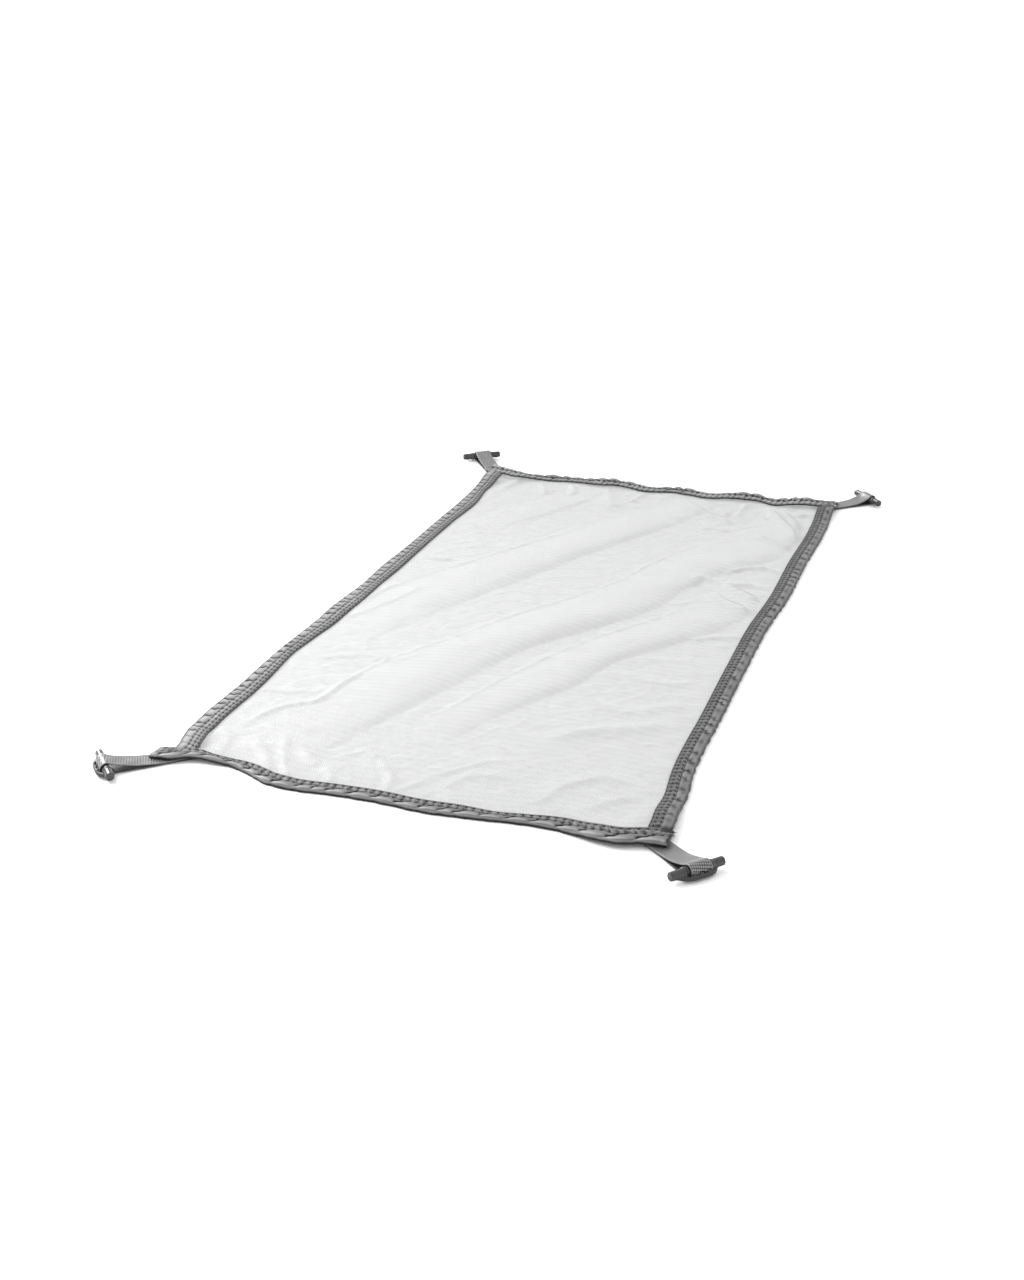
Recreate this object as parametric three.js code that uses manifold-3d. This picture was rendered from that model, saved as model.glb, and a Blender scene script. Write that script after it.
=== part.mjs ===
// A gear loft: a sheer mesh panel bound on all four edges, with a webbing loop and a moulded toggle at each
// corner. It lies on a flat surface. Millimetres, +Y along the length, +X across the width, +Z up. The origin
// is on the surface, under the middle of the whole loft.

import * as THREE from 'three';
import { mergeVertices } from 'three/addons/utils/BufferGeometryUtils.js';
import Module from 'manifold-3d';

const manifold = await Module();
manifold.setup();

// Driving dimensions
const PANEL_WIDTH = 340;
const PANEL_LENGTH = 680;
const WEBBING_WIDTH = 15;
const TOGGLE_LENGTH = 38;
const SHEET = 1.0;
const WEBBING = 1.1;
const GAP = 0.37;

// Binding: a strip folded over the edge of the mesh, rolled narrower at the near and far ends
const BINDING_WIDTHS = { near: 14, right: 15.5, far: 12, left: 16 };
const SLOT = SHEET + 2 * GAP;
const BINDING_HEIGHT = 2 * SHEET + SLOT;
const FOLD_WEB = 2.6;
const FOLD_ROUND = 0.6;
const MESH_INSET = 5;
const MESH_IN_SLOT = SHEET + GAP;
const BESIDE_BINDING = 2;

// The near binding's left end hangs out past the corner as a loose flap
const NEAR_LEFT_FLAP = 9;

// The two stacked webbing layers lift each corner of the panel
const WEBBING_STACK = 2 * WEBBING;
const CORNER_LIFT = WEBBING_STACK + 0.5;
const LIFT_FLAT = 28;
const LIFT_END = 60;

// Grid of the mesh panel: the diagonals of its cells run the same way as the billows
const COLUMNS = 30;
const ROWS = 31;
const EDGE_BLEND = 45;

// Toggle: a round bar across the webbing, with a shoulder on each side of it
const BAR_SIDES = 16;
const BAR_CORE_RADIUS = 3.1;
const BAR_SHOULDER_RADIUS = 3.5;
const BAR_SHOULDER_LENGTH = 1.0;
const BAR_SHOULDER_TAPER = 1.2;
const BAR_STEP = 0.2;
const BAR_END_RADIUS = 2.9;
const BAR_CAP_RADIUS = 2.4;
const BAR_CAP_BEVEL = 0.6;
const LOOP_CLEARANCE = 0.37;
const LOOP_INNER_RADIUS = BAR_CORE_RADIUS + LOOP_CLEARANCE;
const LOOP_OUTER_RADIUS = LOOP_INNER_RADIUS + WEBBING;
const BAR_AXIS_HEIGHT = LOOP_OUTER_RADIUS;
const SLOT_HALF_LENGTH = WEBBING_WIDTH / 2 + 1.1;

// Toggle: a rim outside the bar, so that the webbing passes through the slot between them
const RIM_HEIGHT = 2.2;
const RIM_BASE_HEIGHT = BAR_AXIS_HEIGHT - 1.9;
const RIM_HALF_LENGTH = 12.5;
const RIM_STRAIGHT = 5;
const RIM_FOOT_REACH = 2;
const RIM_CORNER = 10.5;
const RIM_REACH = 6.2;
const RIM_INNER_EDGE = LOOP_OUTER_RADIUS + 0.4;
const TOOTH_COUNT = 3;
const TOOTH_PITCH = 5.3;
const TOOTH_HALF_WIDTH = 1.3;
const TOOTH_DEPTH = 1.1;
const TOOTH_RISE = 1.1;

// Webbing: how far the loop's upper layer runs level, and how soon it falls, as shares of the way to the meet
const LEVEL_SHARE = 0.12;
const FALL_SHARE = 0.42;
const INNER_LEVEL_SHARE = 0.1;
const INNER_FALL_SHARE = 0.38;
const MEET_INSET = 3;
const LOOP_STEPS = 8;
const RIM_STEPS = 6;
const WELD = 1e-4;

const MESH_COLOUR = 0xe9eaeb;
const BINDING_COLOUR = 0x8c8c8d;
const WEBBING_COLOUR = 0x7f7f80;
const TOGGLE_COLOUR = 0x3a3a3b;

// Plan outline of the bound panel, each edge by the place along it
const LEFT_OUTLINE = [
  { along: -340, edge: -161.5 },
  { along: -322, edge: -161.5 },
  { along: -305, edge: -165.0 },
  { along: -292, edge: -168.0 },
  { along: -276, edge: -168.5 },
  { along: -210, edge: -169.0 },
  { along: -150, edge: -171.0 },
  { along: -85, edge: -169.5 },
  { along: 10, edge: -168.0 },
  { along: 100, edge: -168.0 },
  { along: 228, edge: -168.5 },
  { along: 300, edge: -170.5 },
  { along: 340, edge: -172.5 },
];
const RIGHT_OUTLINE = [
  { along: -340, edge: 175.5 },
  { along: -318, edge: 175.0 },
  { along: -300, edge: 173.5 },
  { along: -277, edge: 173.0 },
  { along: -250, edge: 170.0 },
  { along: -147, edge: 168.0 },
  { along: -60, edge: 167.0 },
  { along: 18, edge: 167.0 },
  { along: 73, edge: 170.0 },
  { along: 176, edge: 170.0 },
  { along: 240, edge: 171.5 },
  { along: 340, edge: 168.5 },
];
const NEAR_OUTLINE = [
  { along: -172, edge: -331.0 },
  { along: -136, edge: -331.5 },
  { along: -114, edge: -332.0 },
  { along: -102, edge: -337.0 },
  { along: -86, edge: -345.0 },
  { along: -74, edge: -347.0 },
  { along: -40, edge: -345.5 },
  { along: -15, edge: -345.0 },
  { along: 24, edge: -348.0 },
  { along: 54, edge: -346.0 },
  { along: 82, edge: -343.0 },
  { along: 110, edge: -343.5 },
  { along: 132, edge: -349.5 },
  { along: 143, edge: -351.5 },
  { along: 163, edge: -346.5 },
  { along: 172, edge: -345.5 },
];
const FAR_OUTLINE = [
  { along: -170, edge: 332.0, lift: 0.0 },
  { along: -158, edge: 332.0, lift: 0.0 },
  { along: -141, edge: 328.0, lift: 0.0 },
  { along: -104, edge: 327.5, lift: 0.0 },
  { along: -88, edge: 331.0, lift: 0.2 },
  { along: -72, edge: 333.0, lift: 0.5 },
  { along: -56, edge: 334.5, lift: 1.0 },
  { along: -39, edge: 334.5, lift: 0.9 },
  { along: -15, edge: 331.5, lift: 0.0 },
  { along: 40, edge: 331.0, lift: 0.2 },
  { along: 80, edge: 334.5, lift: 1.2 },
  { along: 110, edge: 331.0, lift: 0.0 },
  { along: 140, edge: 331.0, lift: 0.6 },
  { along: 170, edge: 331.0, lift: 0.0 },
];

// Billows of the mesh: at each place along the length, where the fold starts on the left, where it ends on
// the right, and how high its crest stands
const BILLOWS = [
  {
    crestAt: 0.6,
    sections: [
      { y: 150, left: -150, right: -118, crest: 0 },
      { y: 190, left: -146, right: -98, crest: 3.0 },
      { y: 225, left: -122, right: -76, crest: 5.0 },
      { y: 260, left: -100, right: -60, crest: 5.0 },
      { y: 310, left: -84, right: -44, crest: 1.5 },
    ],
  },
  {
    crestAt: 0.62,
    sections: [
      { y: -115, left: -152, right: -118, crest: 0 },
      { y: -60, left: -152, right: -98, crest: 5.0 },
      { y: 0, left: -146, right: -72, crest: 8.5 },
      { y: 80, left: -105, right: -36, crest: 10.0 },
      { y: 160, left: -61, right: 2, crest: 9.5 },
      { y: 230, left: -20, right: 38, crest: 8.0 },
      { y: 310, left: 28, right: 72, crest: 2.5 },
    ],
  },
  {
    crestAt: 0.62,
    sections: [
      { y: -312, left: -122, right: -74, crest: 0 },
      { y: -270, left: -130, right: -62, crest: 5.0 },
      { y: -225, left: -108, right: -47, crest: 8.0 },
      { y: -150, left: -94, right: -21, crest: 11.0 },
      { y: -80, left: -58, right: 5, crest: 12.0 },
      { y: -20, left: -28, right: 46, crest: 12.0 },
      { y: 30, left: 4, right: 75, crest: 11.0 },
      { y: 80, left: 30, right: 88, crest: 10.5 },
      { y: 130, left: 45, right: 112, crest: 9.5 },
      { y: 180, left: 68, right: 148, crest: 7.5 },
      { y: 230, left: 93, right: 150, crest: 5.0 },
      { y: 290, left: 125, right: 152, crest: 0 },
    ],
  },
  {
    crestAt: 0.6,
    sections: [
      { y: -262, left: -36, right: 0, crest: 0 },
      { y: -225, left: -24, right: 12, crest: 3.5 },
      { y: -190, left: -12, right: 28, crest: 6.0 },
      { y: -140, left: 4, right: 55, crest: 9.0 },
      { y: -80, left: 28, right: 76, crest: 10.0 },
      { y: -30, left: 55, right: 113, crest: 9.5 },
      { y: 10, left: 82, right: 138, crest: 8.0 },
      { y: 50, left: 100, right: 150, crest: 5.0 },
      { y: 95, left: 112, right: 152, crest: 0 },
    ],
  },
];

// Each corner: middle of the toggle's bar in plan, the direction in which its webbing leaves the panel, how
// far from the bar the two webbing layers meet, where the webbing ends under the binding, how full the upper
// layer's fall is, and how far along the bar the webbing has slid
const CORNERS = [
  { name: 'near_left', x: -192.2, y: -361, degrees: 222, meet: 37, end: 58, fullness: 1.0, slid: -0.8 },
  { name: 'near_right', x: 199.5, y: -366, degrees: -41, meet: 33, end: 56, fullness: 0.3, slid: 0.8 },
  { name: 'far_left', x: -197, y: 370, degrees: 125, meet: 41, end: 60, fullness: 2.5, slid: -0.8 },
  { name: 'far_right', x: 194.5, y: 357, degrees: 42, meet: 32, end: 52, fullness: 3.5, slid: 0 },
];

const lerp = THREE.MathUtils.lerp;
const smooth = THREE.MathUtils.smoothstep;

// Reads one column of a table at a place between its rows
function readTable(rows, place, placeColumn, column) {
  const last = rows.length - 1;
  if (place <= rows[0][placeColumn]) return rows[0][column];
  if (place >= rows[last][placeColumn]) return rows[last][column];
  const next = rows.findIndex((row) => row[placeColumn] > place);
  const before = rows[next - 1];
  const after = rows[next];
  const share = (place - before[placeColumn]) / (after[placeColumn] - before[placeColumn]);
  return lerp(before[column], after[column], share);
}

const outline = (rows, along) => readTable(rows, along, 'along', 'edge');

// Grid lines of a straight panel: the second and the last but one lie just inside the bindings
function gridLines(cells, size, firstBinding, lastBinding) {
  const first = firstBinding + BESIDE_BINDING - size / 2;
  const last = size / 2 - lastBinding - BESIDE_BINDING;
  const lines = [MESH_INSET - size / 2];
  for (let i = 1; i < cells; i += 1) lines.push(lerp(first, last, (i - 1) / (cells - 2)));
  lines.push(size / 2 - MESH_INSET);
  return lines;
}

const columnLines = gridLines(COLUMNS, PANEL_WIDTH, BINDING_WIDTHS.left, BINDING_WIDTHS.right);
const rowLines = gridLines(ROWS, PANEL_LENGTH, BINDING_WIDTHS.near, BINDING_WIDTHS.far);

// Plan position of a grid point: the two outer lines on each side follow the outline
function panelPoint(column, row) {
  const point = new THREE.Vector2(columnLines[column], rowLines[row]);
  const { x, y } = point;
  if (column <= 1) point.x += outline(LEFT_OUTLINE, y) + PANEL_WIDTH / 2;
  if (column >= COLUMNS - 1) point.x += outline(RIGHT_OUTLINE, y) - PANEL_WIDTH / 2;
  if (row <= 1) point.y += outline(NEAR_OUTLINE, x) + PANEL_LENGTH / 2;
  if (row >= ROWS - 1) point.y += outline(FAR_OUTLINE, x) - PANEL_LENGTH / 2;
  return point;
}

// How far the webbing lifts a binding, by the distance along it to the nearer corner
function cornerLift(toCorner) {
  return CORNER_LIFT * (1 - smooth(toCorner, LIFT_FLAT, LIFT_END));
}

const endLift = (x) => cornerLift(PANEL_WIDTH / 2 - Math.abs(x));
const sideLift = (y) => cornerLift(PANEL_LENGTH / 2 - Math.abs(y));
const farLift = (x) => Math.max(endLift(x), readTable(FAR_OUTLINE, x, 'along', 'lift'));

// Height of the billows over the surface
function billowHeight(x, y) {
  let height = 0;
  for (const { crestAt, sections } of BILLOWS) {
    if (y < sections[0].y || y > sections[sections.length - 1].y) continue;
    const left = readTable(sections, y, 'y', 'left');
    const right = readTable(sections, y, 'y', 'right');
    const crest = readTable(sections, y, 'y', 'crest');
    const share = (x - left) / (right - left);
    if (share <= 0 || share >= 1) continue;
    const rise = share < crestAt ? share / crestAt : (1 - share) / (1 - crestAt);
    height = Math.max(height, crest * smooth(rise, 0, 1));
  }
  return height;
}

// Height of the underside of the mesh at a grid point
function meshHeight(column, row, point) {
  if (row <= 1) return endLift(point.x) + MESH_IN_SLOT;
  if (row >= ROWS - 1) return farLift(point.x) + MESH_IN_SLOT;
  if (column <= 1 || column >= COLUMNS - 1) return sideLift(point.y) + MESH_IN_SLOT;
  const { x, y } = point;
  const fromEdges = [
    { distance: PANEL_WIDTH / 2 + x, width: BINDING_WIDTHS.left, lift: sideLift(y) },
    { distance: PANEL_WIDTH / 2 - x, width: BINDING_WIDTHS.right, lift: sideLift(y) },
    { distance: PANEL_LENGTH / 2 + y, width: BINDING_WIDTHS.near, lift: endLift(x) },
    { distance: PANEL_LENGTH / 2 - y, width: BINDING_WIDTHS.far, lift: farLift(x) },
  ];
  const heights = fromEdges.map(({ distance, width, lift }) => {
    const share = 1 - smooth(distance, width + BESIDE_BINDING, EDGE_BLEND);
    return (lift + MESH_IN_SLOT) * share;
  });
  return Math.max(...heights, billowHeight(x, y));
}

function geometryOf(positions, indices) {
  const geometry = new THREE.BufferGeometry();
  geometry.setAttribute('position', new THREE.Float32BufferAttribute(positions, 3));
  geometry.setIndex(indices);
  geometry.computeVertexNormals();
  return geometry;
}

// The mesh: two height fields, one sheet thickness apart, closed along the four edges
function meshPanelGeometry() {
  const positions = [];
  const indices = [];
  const width = COLUMNS + 1;
  const layer = width * (ROWS + 1);
  for (const offset of [0, SHEET]) {
    for (let row = 0; row <= ROWS; row += 1) {
      for (let column = 0; column <= COLUMNS; column += 1) {
        const point = panelPoint(column, row);
        positions.push(point.x, point.y, meshHeight(column, row, point) + offset);
      }
    }
  }
  for (let row = 0; row < ROWS; row += 1) {
    for (let column = 0; column < COLUMNS; column += 1) {
      const a = row * width + column;
      const b = a + 1;
      const c = b + width;
      const d = a + width;
      indices.push(a, c, b, a, d, c);
      indices.push(a + layer, b + layer, c + layer, a + layer, c + layer, d + layer);
    }
  }
  const rim = [];
  for (let column = 0; column < COLUMNS; column += 1) rim.push(column);
  for (let row = 0; row < ROWS; row += 1) rim.push(row * width + COLUMNS);
  for (let column = COLUMNS; column > 0; column -= 1) rim.push(ROWS * width + column);
  for (let row = ROWS; row > 0; row -= 1) rim.push(row * width);
  rim.forEach((a, i) => {
    const b = rim[(i + 1) % rim.length];
    indices.push(a, b, b + layer, a, b + layer, a + layer);
  });
  return geometryOf(positions, indices);
}

// Section of a binding: x inward from the outer edge, y up; the slot opens inward
function bindingSection(width) {
  const top = BINDING_HEIGHT;
  return [
    new THREE.Vector2(0, top / 2),
    new THREE.Vector2(FOLD_ROUND, FOLD_ROUND),
    new THREE.Vector2(FOLD_WEB, 0),
    new THREE.Vector2(width, 0),
    new THREE.Vector2(width, SHEET),
    new THREE.Vector2(FOLD_WEB, SHEET),
    new THREE.Vector2(FOLD_WEB, SHEET + SLOT),
    new THREE.Vector2(width, SHEET + SLOT),
    new THREE.Vector2(width, top),
    new THREE.Vector2(FOLD_WEB, top),
    new THREE.Vector2(FOLD_ROUND, top - FOLD_ROUND),
  ];
}

// A binding swept through its stations, each with its outer edge in plan and its lift. Seen from above, the
// inside of the panel is on the left of the way that the stations run.
function bindingGeometry(stations, inward, width) {
  const section = bindingSection(width);
  const positions = [];
  const indices = [];
  for (const { edge, lift } of stations) {
    for (const { x, y } of section) {
      positions.push(edge.x + inward.x * x, edge.y + inward.y * x, lift + y);
    }
  }
  for (let i = 0; i < stations.length - 1; i += 1) {
    for (let k = 0; k < section.length; k += 1) {
      const a = i * section.length + k;
      const b = i * section.length + ((k + 1) % section.length);
      const c = b + section.length;
      const d = a + section.length;
      indices.push(a, b, c, a, c, d);
    }
  }
  const lastStation = (stations.length - 1) * section.length;
  for (const [a, b, c] of THREE.ShapeUtils.triangulateShape(section, [])) {
    indices.push(a, c, b);
    indices.push(lastStation + a, lastStation + b, lastStation + c);
  }
  return geometryOf(positions, indices);
}

// Stations of the near and far bindings, one on each grid column, and one past it at each corner
function endStations(rows, liftAt, row, leftFlap) {
  const stations = columnLines.map((line, column) => {
    let { x } = panelPoint(column, row);
    if (column === 0) x -= MESH_INSET + leftFlap;
    if (column === COLUMNS) x += MESH_INSET;
    return { edge: new THREE.Vector2(x, outline(rows, x)), lift: liftAt(x) };
  });
  return row === 0 ? stations : stations.reverse();
}

// Stations of the side bindings, on the grid rows between the near and far bindings
function sideStations(rows, column) {
  const stations = [];
  for (let row = 1; row < ROWS; row += 1) {
    const { y } = panelPoint(column, row);
    stations.push({ edge: new THREE.Vector2(outline(rows, y), y), lift: sideLift(y) });
  }
  return column === 0 ? stations.reverse() : stations;
}

// Side view of a webbing loop, outward along x: round the bar, back in two layers, and stacked at its end
function webbingGeometry({ meet, end, fullness, slid }) {
  const loopTop = BAR_AXIS_HEIGHT + LOOP_OUTER_RADIUS;
  const falling = WEBBING_STACK + fullness;
  const shape = new THREE.Shape();
  shape.moveTo(-end, 0);
  shape.lineTo(0, 0);
  shape.absarc(0, BAR_AXIS_HEIGHT, LOOP_OUTER_RADIUS, -Math.PI / 2, Math.PI / 2, false);
  shape.bezierCurveTo(-meet * LEVEL_SHARE, loopTop, -meet * FALL_SHARE, falling, -meet, WEBBING_STACK);
  shape.lineTo(-end, WEBBING_STACK);
  shape.closePath();
  const innerTop = BAR_AXIS_HEIGHT + LOOP_INNER_RADIUS;
  const innerLevel = -meet * INNER_LEVEL_SHARE;
  const innerFall = -meet * INNER_FALL_SHARE;
  const innerMeet = MEET_INSET - meet;
  const inside = new THREE.Path();
  inside.moveTo(innerMeet, WEBBING);
  inside.lineTo(0, WEBBING);
  inside.absarc(0, BAR_AXIS_HEIGHT, LOOP_INNER_RADIUS, -Math.PI / 2, Math.PI / 2, false);
  inside.bezierCurveTo(innerLevel, innerTop, innerFall, WEBBING + fullness, innerMeet, WEBBING);
  shape.holes.push(inside);
  const geometry = new THREE.ExtrudeGeometry(shape, {
    depth: WEBBING_WIDTH,
    bevelEnabled: false,
    curveSegments: LOOP_STEPS,
    steps: 1,
  });
  geometry.rotateX(Math.PI / 2);
  geometry.translate(0, WEBBING_WIDTH / 2 + slid, 0);
  return geometry;
}

function toSolid(geometry) {
  const bare = geometry.clone();
  bare.deleteAttribute('normal');
  bare.deleteAttribute('uv');
  const merged = mergeVertices(bare, WELD);
  return new manifold.Manifold(
    new manifold.Mesh({
      numProp: 3,
      vertProperties: new Float32Array(merged.attributes.position.array),
      triVerts: new Uint32Array(merged.index.array),
    }),
  );
}

function toGeometry(solid) {
  const mesh = solid.getMesh();
  return geometryOf(Array.from(mesh.vertProperties), Array.from(mesh.triVerts));
}

// The toggle's bar, turned round the Y axis: flat caps, plain ends, shoulders and the core in the loop
function barGeometry() {
  const half = TOGGLE_LENGTH / 2;
  const shoulderOut = SLOT_HALF_LENGTH + BAR_SHOULDER_LENGTH;
  const side = [
    [BAR_CORE_RADIUS, SLOT_HALF_LENGTH],
    [BAR_SHOULDER_RADIUS, SLOT_HALF_LENGTH + BAR_STEP],
    [BAR_SHOULDER_RADIUS, shoulderOut],
    [BAR_END_RADIUS, shoulderOut + BAR_SHOULDER_TAPER],
    [BAR_END_RADIUS, half - BAR_CAP_BEVEL],
    [BAR_CAP_RADIUS, half],
    [0, half],
  ];
  const upper = side.map(([radius, y]) => new THREE.Vector2(radius, y));
  const lower = side.map(([radius, y]) => new THREE.Vector2(radius, -y)).reverse();
  const geometry = new THREE.LatheGeometry([...lower, ...upper], BAR_SIDES, Math.PI / BAR_SIDES);
  geometry.translate(0, 0, BAR_AXIS_HEIGHT);
  return geometry;
}

// The rim: straight in the middle, curving back to the bar, and cut back for the webbing's slot
function rimGeometry() {
  const shape = new THREE.Shape();
  shape.moveTo(0, -RIM_HALF_LENGTH);
  shape.lineTo(RIM_FOOT_REACH, -RIM_HALF_LENGTH);
  shape.quadraticCurveTo(RIM_REACH, -RIM_CORNER, RIM_REACH, -RIM_STRAIGHT);
  shape.lineTo(RIM_REACH, RIM_STRAIGHT);
  shape.quadraticCurveTo(RIM_REACH, RIM_CORNER, RIM_FOOT_REACH, RIM_HALF_LENGTH);
  shape.lineTo(0, RIM_HALF_LENGTH);
  shape.lineTo(0, SLOT_HALF_LENGTH);
  shape.lineTo(RIM_INNER_EDGE, SLOT_HALF_LENGTH);
  shape.lineTo(RIM_INNER_EDGE, -SLOT_HALF_LENGTH);
  shape.lineTo(0, -SLOT_HALF_LENGTH);
  shape.closePath();
  const geometry = new THREE.ExtrudeGeometry(shape, {
    depth: RIM_HEIGHT,
    bevelEnabled: false,
    curveSegments: RIM_STEPS,
    steps: 1,
  });
  geometry.translate(0, 0, RIM_BASE_HEIGHT);
  return geometry;
}

// One tooth on the slot side of the rim, from the rim's middle height to above its top
function toothGeometry(y) {
  const shape = new THREE.Shape();
  shape.moveTo(RIM_INNER_EDGE + TOOTH_DEPTH, y - TOOTH_HALF_WIDTH);
  shape.lineTo(RIM_INNER_EDGE + TOOTH_DEPTH, y + TOOTH_HALF_WIDTH);
  shape.lineTo(RIM_INNER_EDGE, y);
  shape.closePath();
  const insideRim = RIM_HEIGHT / 2;
  const geometry = new THREE.ExtrudeGeometry(shape, {
    depth: insideRim + TOOTH_RISE,
    bevelEnabled: false,
    steps: 1,
  });
  geometry.translate(0, 0, RIM_BASE_HEIGHT + insideRim);
  return geometry;
}

function toggleGeometry() {
  let toggle = toSolid(barGeometry()).add(toSolid(rimGeometry()));
  for (let i = 0; i < TOOTH_COUNT; i += 1) {
    const y = (i - (TOOTH_COUNT - 1) / 2) * TOOTH_PITCH;
    toggle = toggle.add(toSolid(toothGeometry(y)));
  }
  return toGeometry(toggle);
}

const finish = (color, roughness) => new THREE.MeshStandardMaterial({ color, roughness, metalness: 0 });

function addMesh(parent, name, geometry, material) {
  const mesh = new THREE.Mesh(geometry, material);
  mesh.name = name;
  parent.add(mesh);
}

const loft = new THREE.Group();
addMesh(loft, 'mesh_panel', meshPanelGeometry(), finish(MESH_COLOUR, 0.8));

const bindings = [
  { side: 'near', stations: endStations(NEAR_OUTLINE, endLift, 0, NEAR_LEFT_FLAP), inward: [0, 1] },
  { side: 'right', stations: sideStations(RIGHT_OUTLINE, COLUMNS), inward: [-1, 0] },
  { side: 'far', stations: endStations(FAR_OUTLINE, farLift, ROWS, 0), inward: [0, -1] },
  { side: 'left', stations: sideStations(LEFT_OUTLINE, 0), inward: [1, 0] },
];
for (const { side, stations, inward } of bindings) {
  const geometry = bindingGeometry(stations, new THREE.Vector2(...inward), BINDING_WIDTHS[side]);
  addMesh(loft, `binding_${side}`, geometry, finish(BINDING_COLOUR, 0.6));
}

for (const corner of CORNERS) {
  const place = new THREE.Group();
  place.position.set(corner.x, corner.y, 0);
  place.rotation.z = THREE.MathUtils.degToRad(corner.degrees);
  addMesh(place, `webbing_${corner.name}`, webbingGeometry(corner), finish(WEBBING_COLOUR, 0.7));
  addMesh(place, `toggle_${corner.name}`, toggleGeometry(), finish(TOGGLE_COLOUR, 0.3));
  loft.add(place);
}

export default loft;
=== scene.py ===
"""Looks of the gear loft: a sheer net in four sewn bindings, with a webbing loop and a moulded toggle at each
corner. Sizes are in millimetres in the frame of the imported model, and each mesh is made in metres."""

import math
import random

import bmesh
import bpy
import numpy as np
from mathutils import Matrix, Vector


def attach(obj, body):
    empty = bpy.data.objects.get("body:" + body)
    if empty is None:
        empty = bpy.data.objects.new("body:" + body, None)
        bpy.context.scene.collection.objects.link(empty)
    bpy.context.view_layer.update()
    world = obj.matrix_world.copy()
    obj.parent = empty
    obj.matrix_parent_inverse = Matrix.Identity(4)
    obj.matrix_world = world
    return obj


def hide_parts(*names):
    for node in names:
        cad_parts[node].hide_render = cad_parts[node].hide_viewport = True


MM = 0.001
SEED = 7

# Camera, from the photo's own frame
LENS = 48.3
SENSOR = 36.0
CAMERA_PLACE = (0.3771, -1.2133, 0.5077)
CAMERA_TURN = (67.23, 0.0, 18.88)

# Floor
FLOOR_HALF = 40000.0
FLOOR_LEVEL = -0.2

# Light, with its places and sizes in metres and the sun's spread in degrees
SKY_STRENGTH = 1.18
SUN_PLACE = (-0.68, 0.56, 0.48)
SUN_SPREAD = 22.0
SUN_STRENGTH = 2.25
LAMP_PLACE = (-0.52, -0.28, 0.45)
LAMP_TARGET = (-0.05, -0.15, 0.0)
LAMP_SIZE = (0.4, 0.3)
LAMP_POWER = 3.7

# Colours of each material, dark and light, and the net's painted shade on crease flanks that face away from
# the light. The tape and the webbing pick between their two by painted light and shade, by random patches
# and, on the webbing, by its weave
NET_GREYS = ((0.43, 0.433, 0.436, 1), (0.488, 0.49, 0.495, 1))
NET_PAINTED_SHADE = (0.36, 0.362, 0.366, 1)
TAPE_GREYS = ((0.012, 0.012, 0.0122, 1), (0.3, 0.3, 0.303, 1))
THREAD_GREYS = ((0.08, 0.08, 0.081, 1), (0.24, 0.24, 0.243, 1))
WEBBING_GREYS = ((0.012, 0.012, 0.0122, 1), (0.225, 0.225, 0.228, 1))
TOGGLE_GREYS = ((0.02, 0.02, 0.021, 1), (0.034, 0.034, 0.035, 1))
FLOOR_GREYS = ((0.94, 0.94, 0.94, 1), (0.96, 0.96, 0.96, 1))

# Weaves: direction in degrees and pitch of each set of lines, and where the webbing's selvage starts
NET_LINES = ((90, 1), (35, 1), (-35, 1))
TAPE_LINES = ((0, 0.55), (90, 0.55))
WEBBING_LINES = ((14, 1.75), (-76, 1.45))
RIB_PITCH = 0.8
SELVAGE = (6.6, 6.9)

# Panel, and the grid of its net
HALF_WIDTH = 170
HALF_LENGTH = 340
NET_STEP = 1.75
NET_INSET = 6
NET_LEVEL = 0.35
EDGE_SHARE = 0.25

# Billows, creases and low swells of the net
BILLOW_SHARE = 0.43
ROUNDING = 0.55
ROLL_POWER = 4
CREASE_SHARE = 1.15
CREASE_STEPS = 24
CREASE_TAPER = 0.22
FOOT_CREASE = (0.9, 1.9, 1.9)
MOTTLE = 0.3
MOTTLE_FADE = 2.5

# Plan direction towards the light: a crease's flank that rises this way faces away from it and gets painted
# shade
LIGHT_SIDE = (-0.77, 0.64)

# Net beside a binding, by the distance from it
SEAM_LEVEL = 0.3
SEAM_FALL = 24
FALL_VARIES = 0.45
CREASE_START = 4
BILLOW_START = 10
BUNCH_START = 6
BUNCH_END = (10, 34)
BUNCH_SLANT = 0.35
BUNCH_WAVES = (27, 19, 41)

# Phase and fullness of the net's bunches on each side
BUNCHES = {"left": (0, 0.9), "right": (2, 0.9), "near": (1, 0.5), "far": (4, 1.2)}

# Corner lift on the stacked webbing, by the distance along a binding to its corner
CORNER_LIFT = 2.7
LIFT_FLAT = 28
LIFT_END = 60

# Folded tape of the bindings, and its stitches
TAPE = 0.32
STITCH_LENGTH = 5.2
STATIONS_PER_STITCH = 7
GROOVE = 0.75
GROOVE_DEPTH = 0.3
HOLE = 0.85

# Ends of the bindings: two are sewn under the others, whose ends are cut
TUCKED = ("left", "right")
TUCK_REACH = 13
TUCK_HEIGHT = 0.62
TUCK_LIFT = 0.35
TUCK_SHADE = 1.3
CUT_REACH = 2.5
CUT_HEIGHT = 0.8

# Puckers, puffs and cells of the bindings
PUCKER_WANDER = 1.1
PUCKER_WAVES = ((23, 1), (9.3, 2))
PUCKER_LEAN = 0.85
PUCKER_EASED = 0.35
PUFF_FULL = 0.6
PUFF_FALL = 0.12
SLOPE_REACH = 0.25
CELL_POWER = 0.7
CELL_WAVES = ((7.7, 1), (12.9, 4), (3.1, 2))
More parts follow.
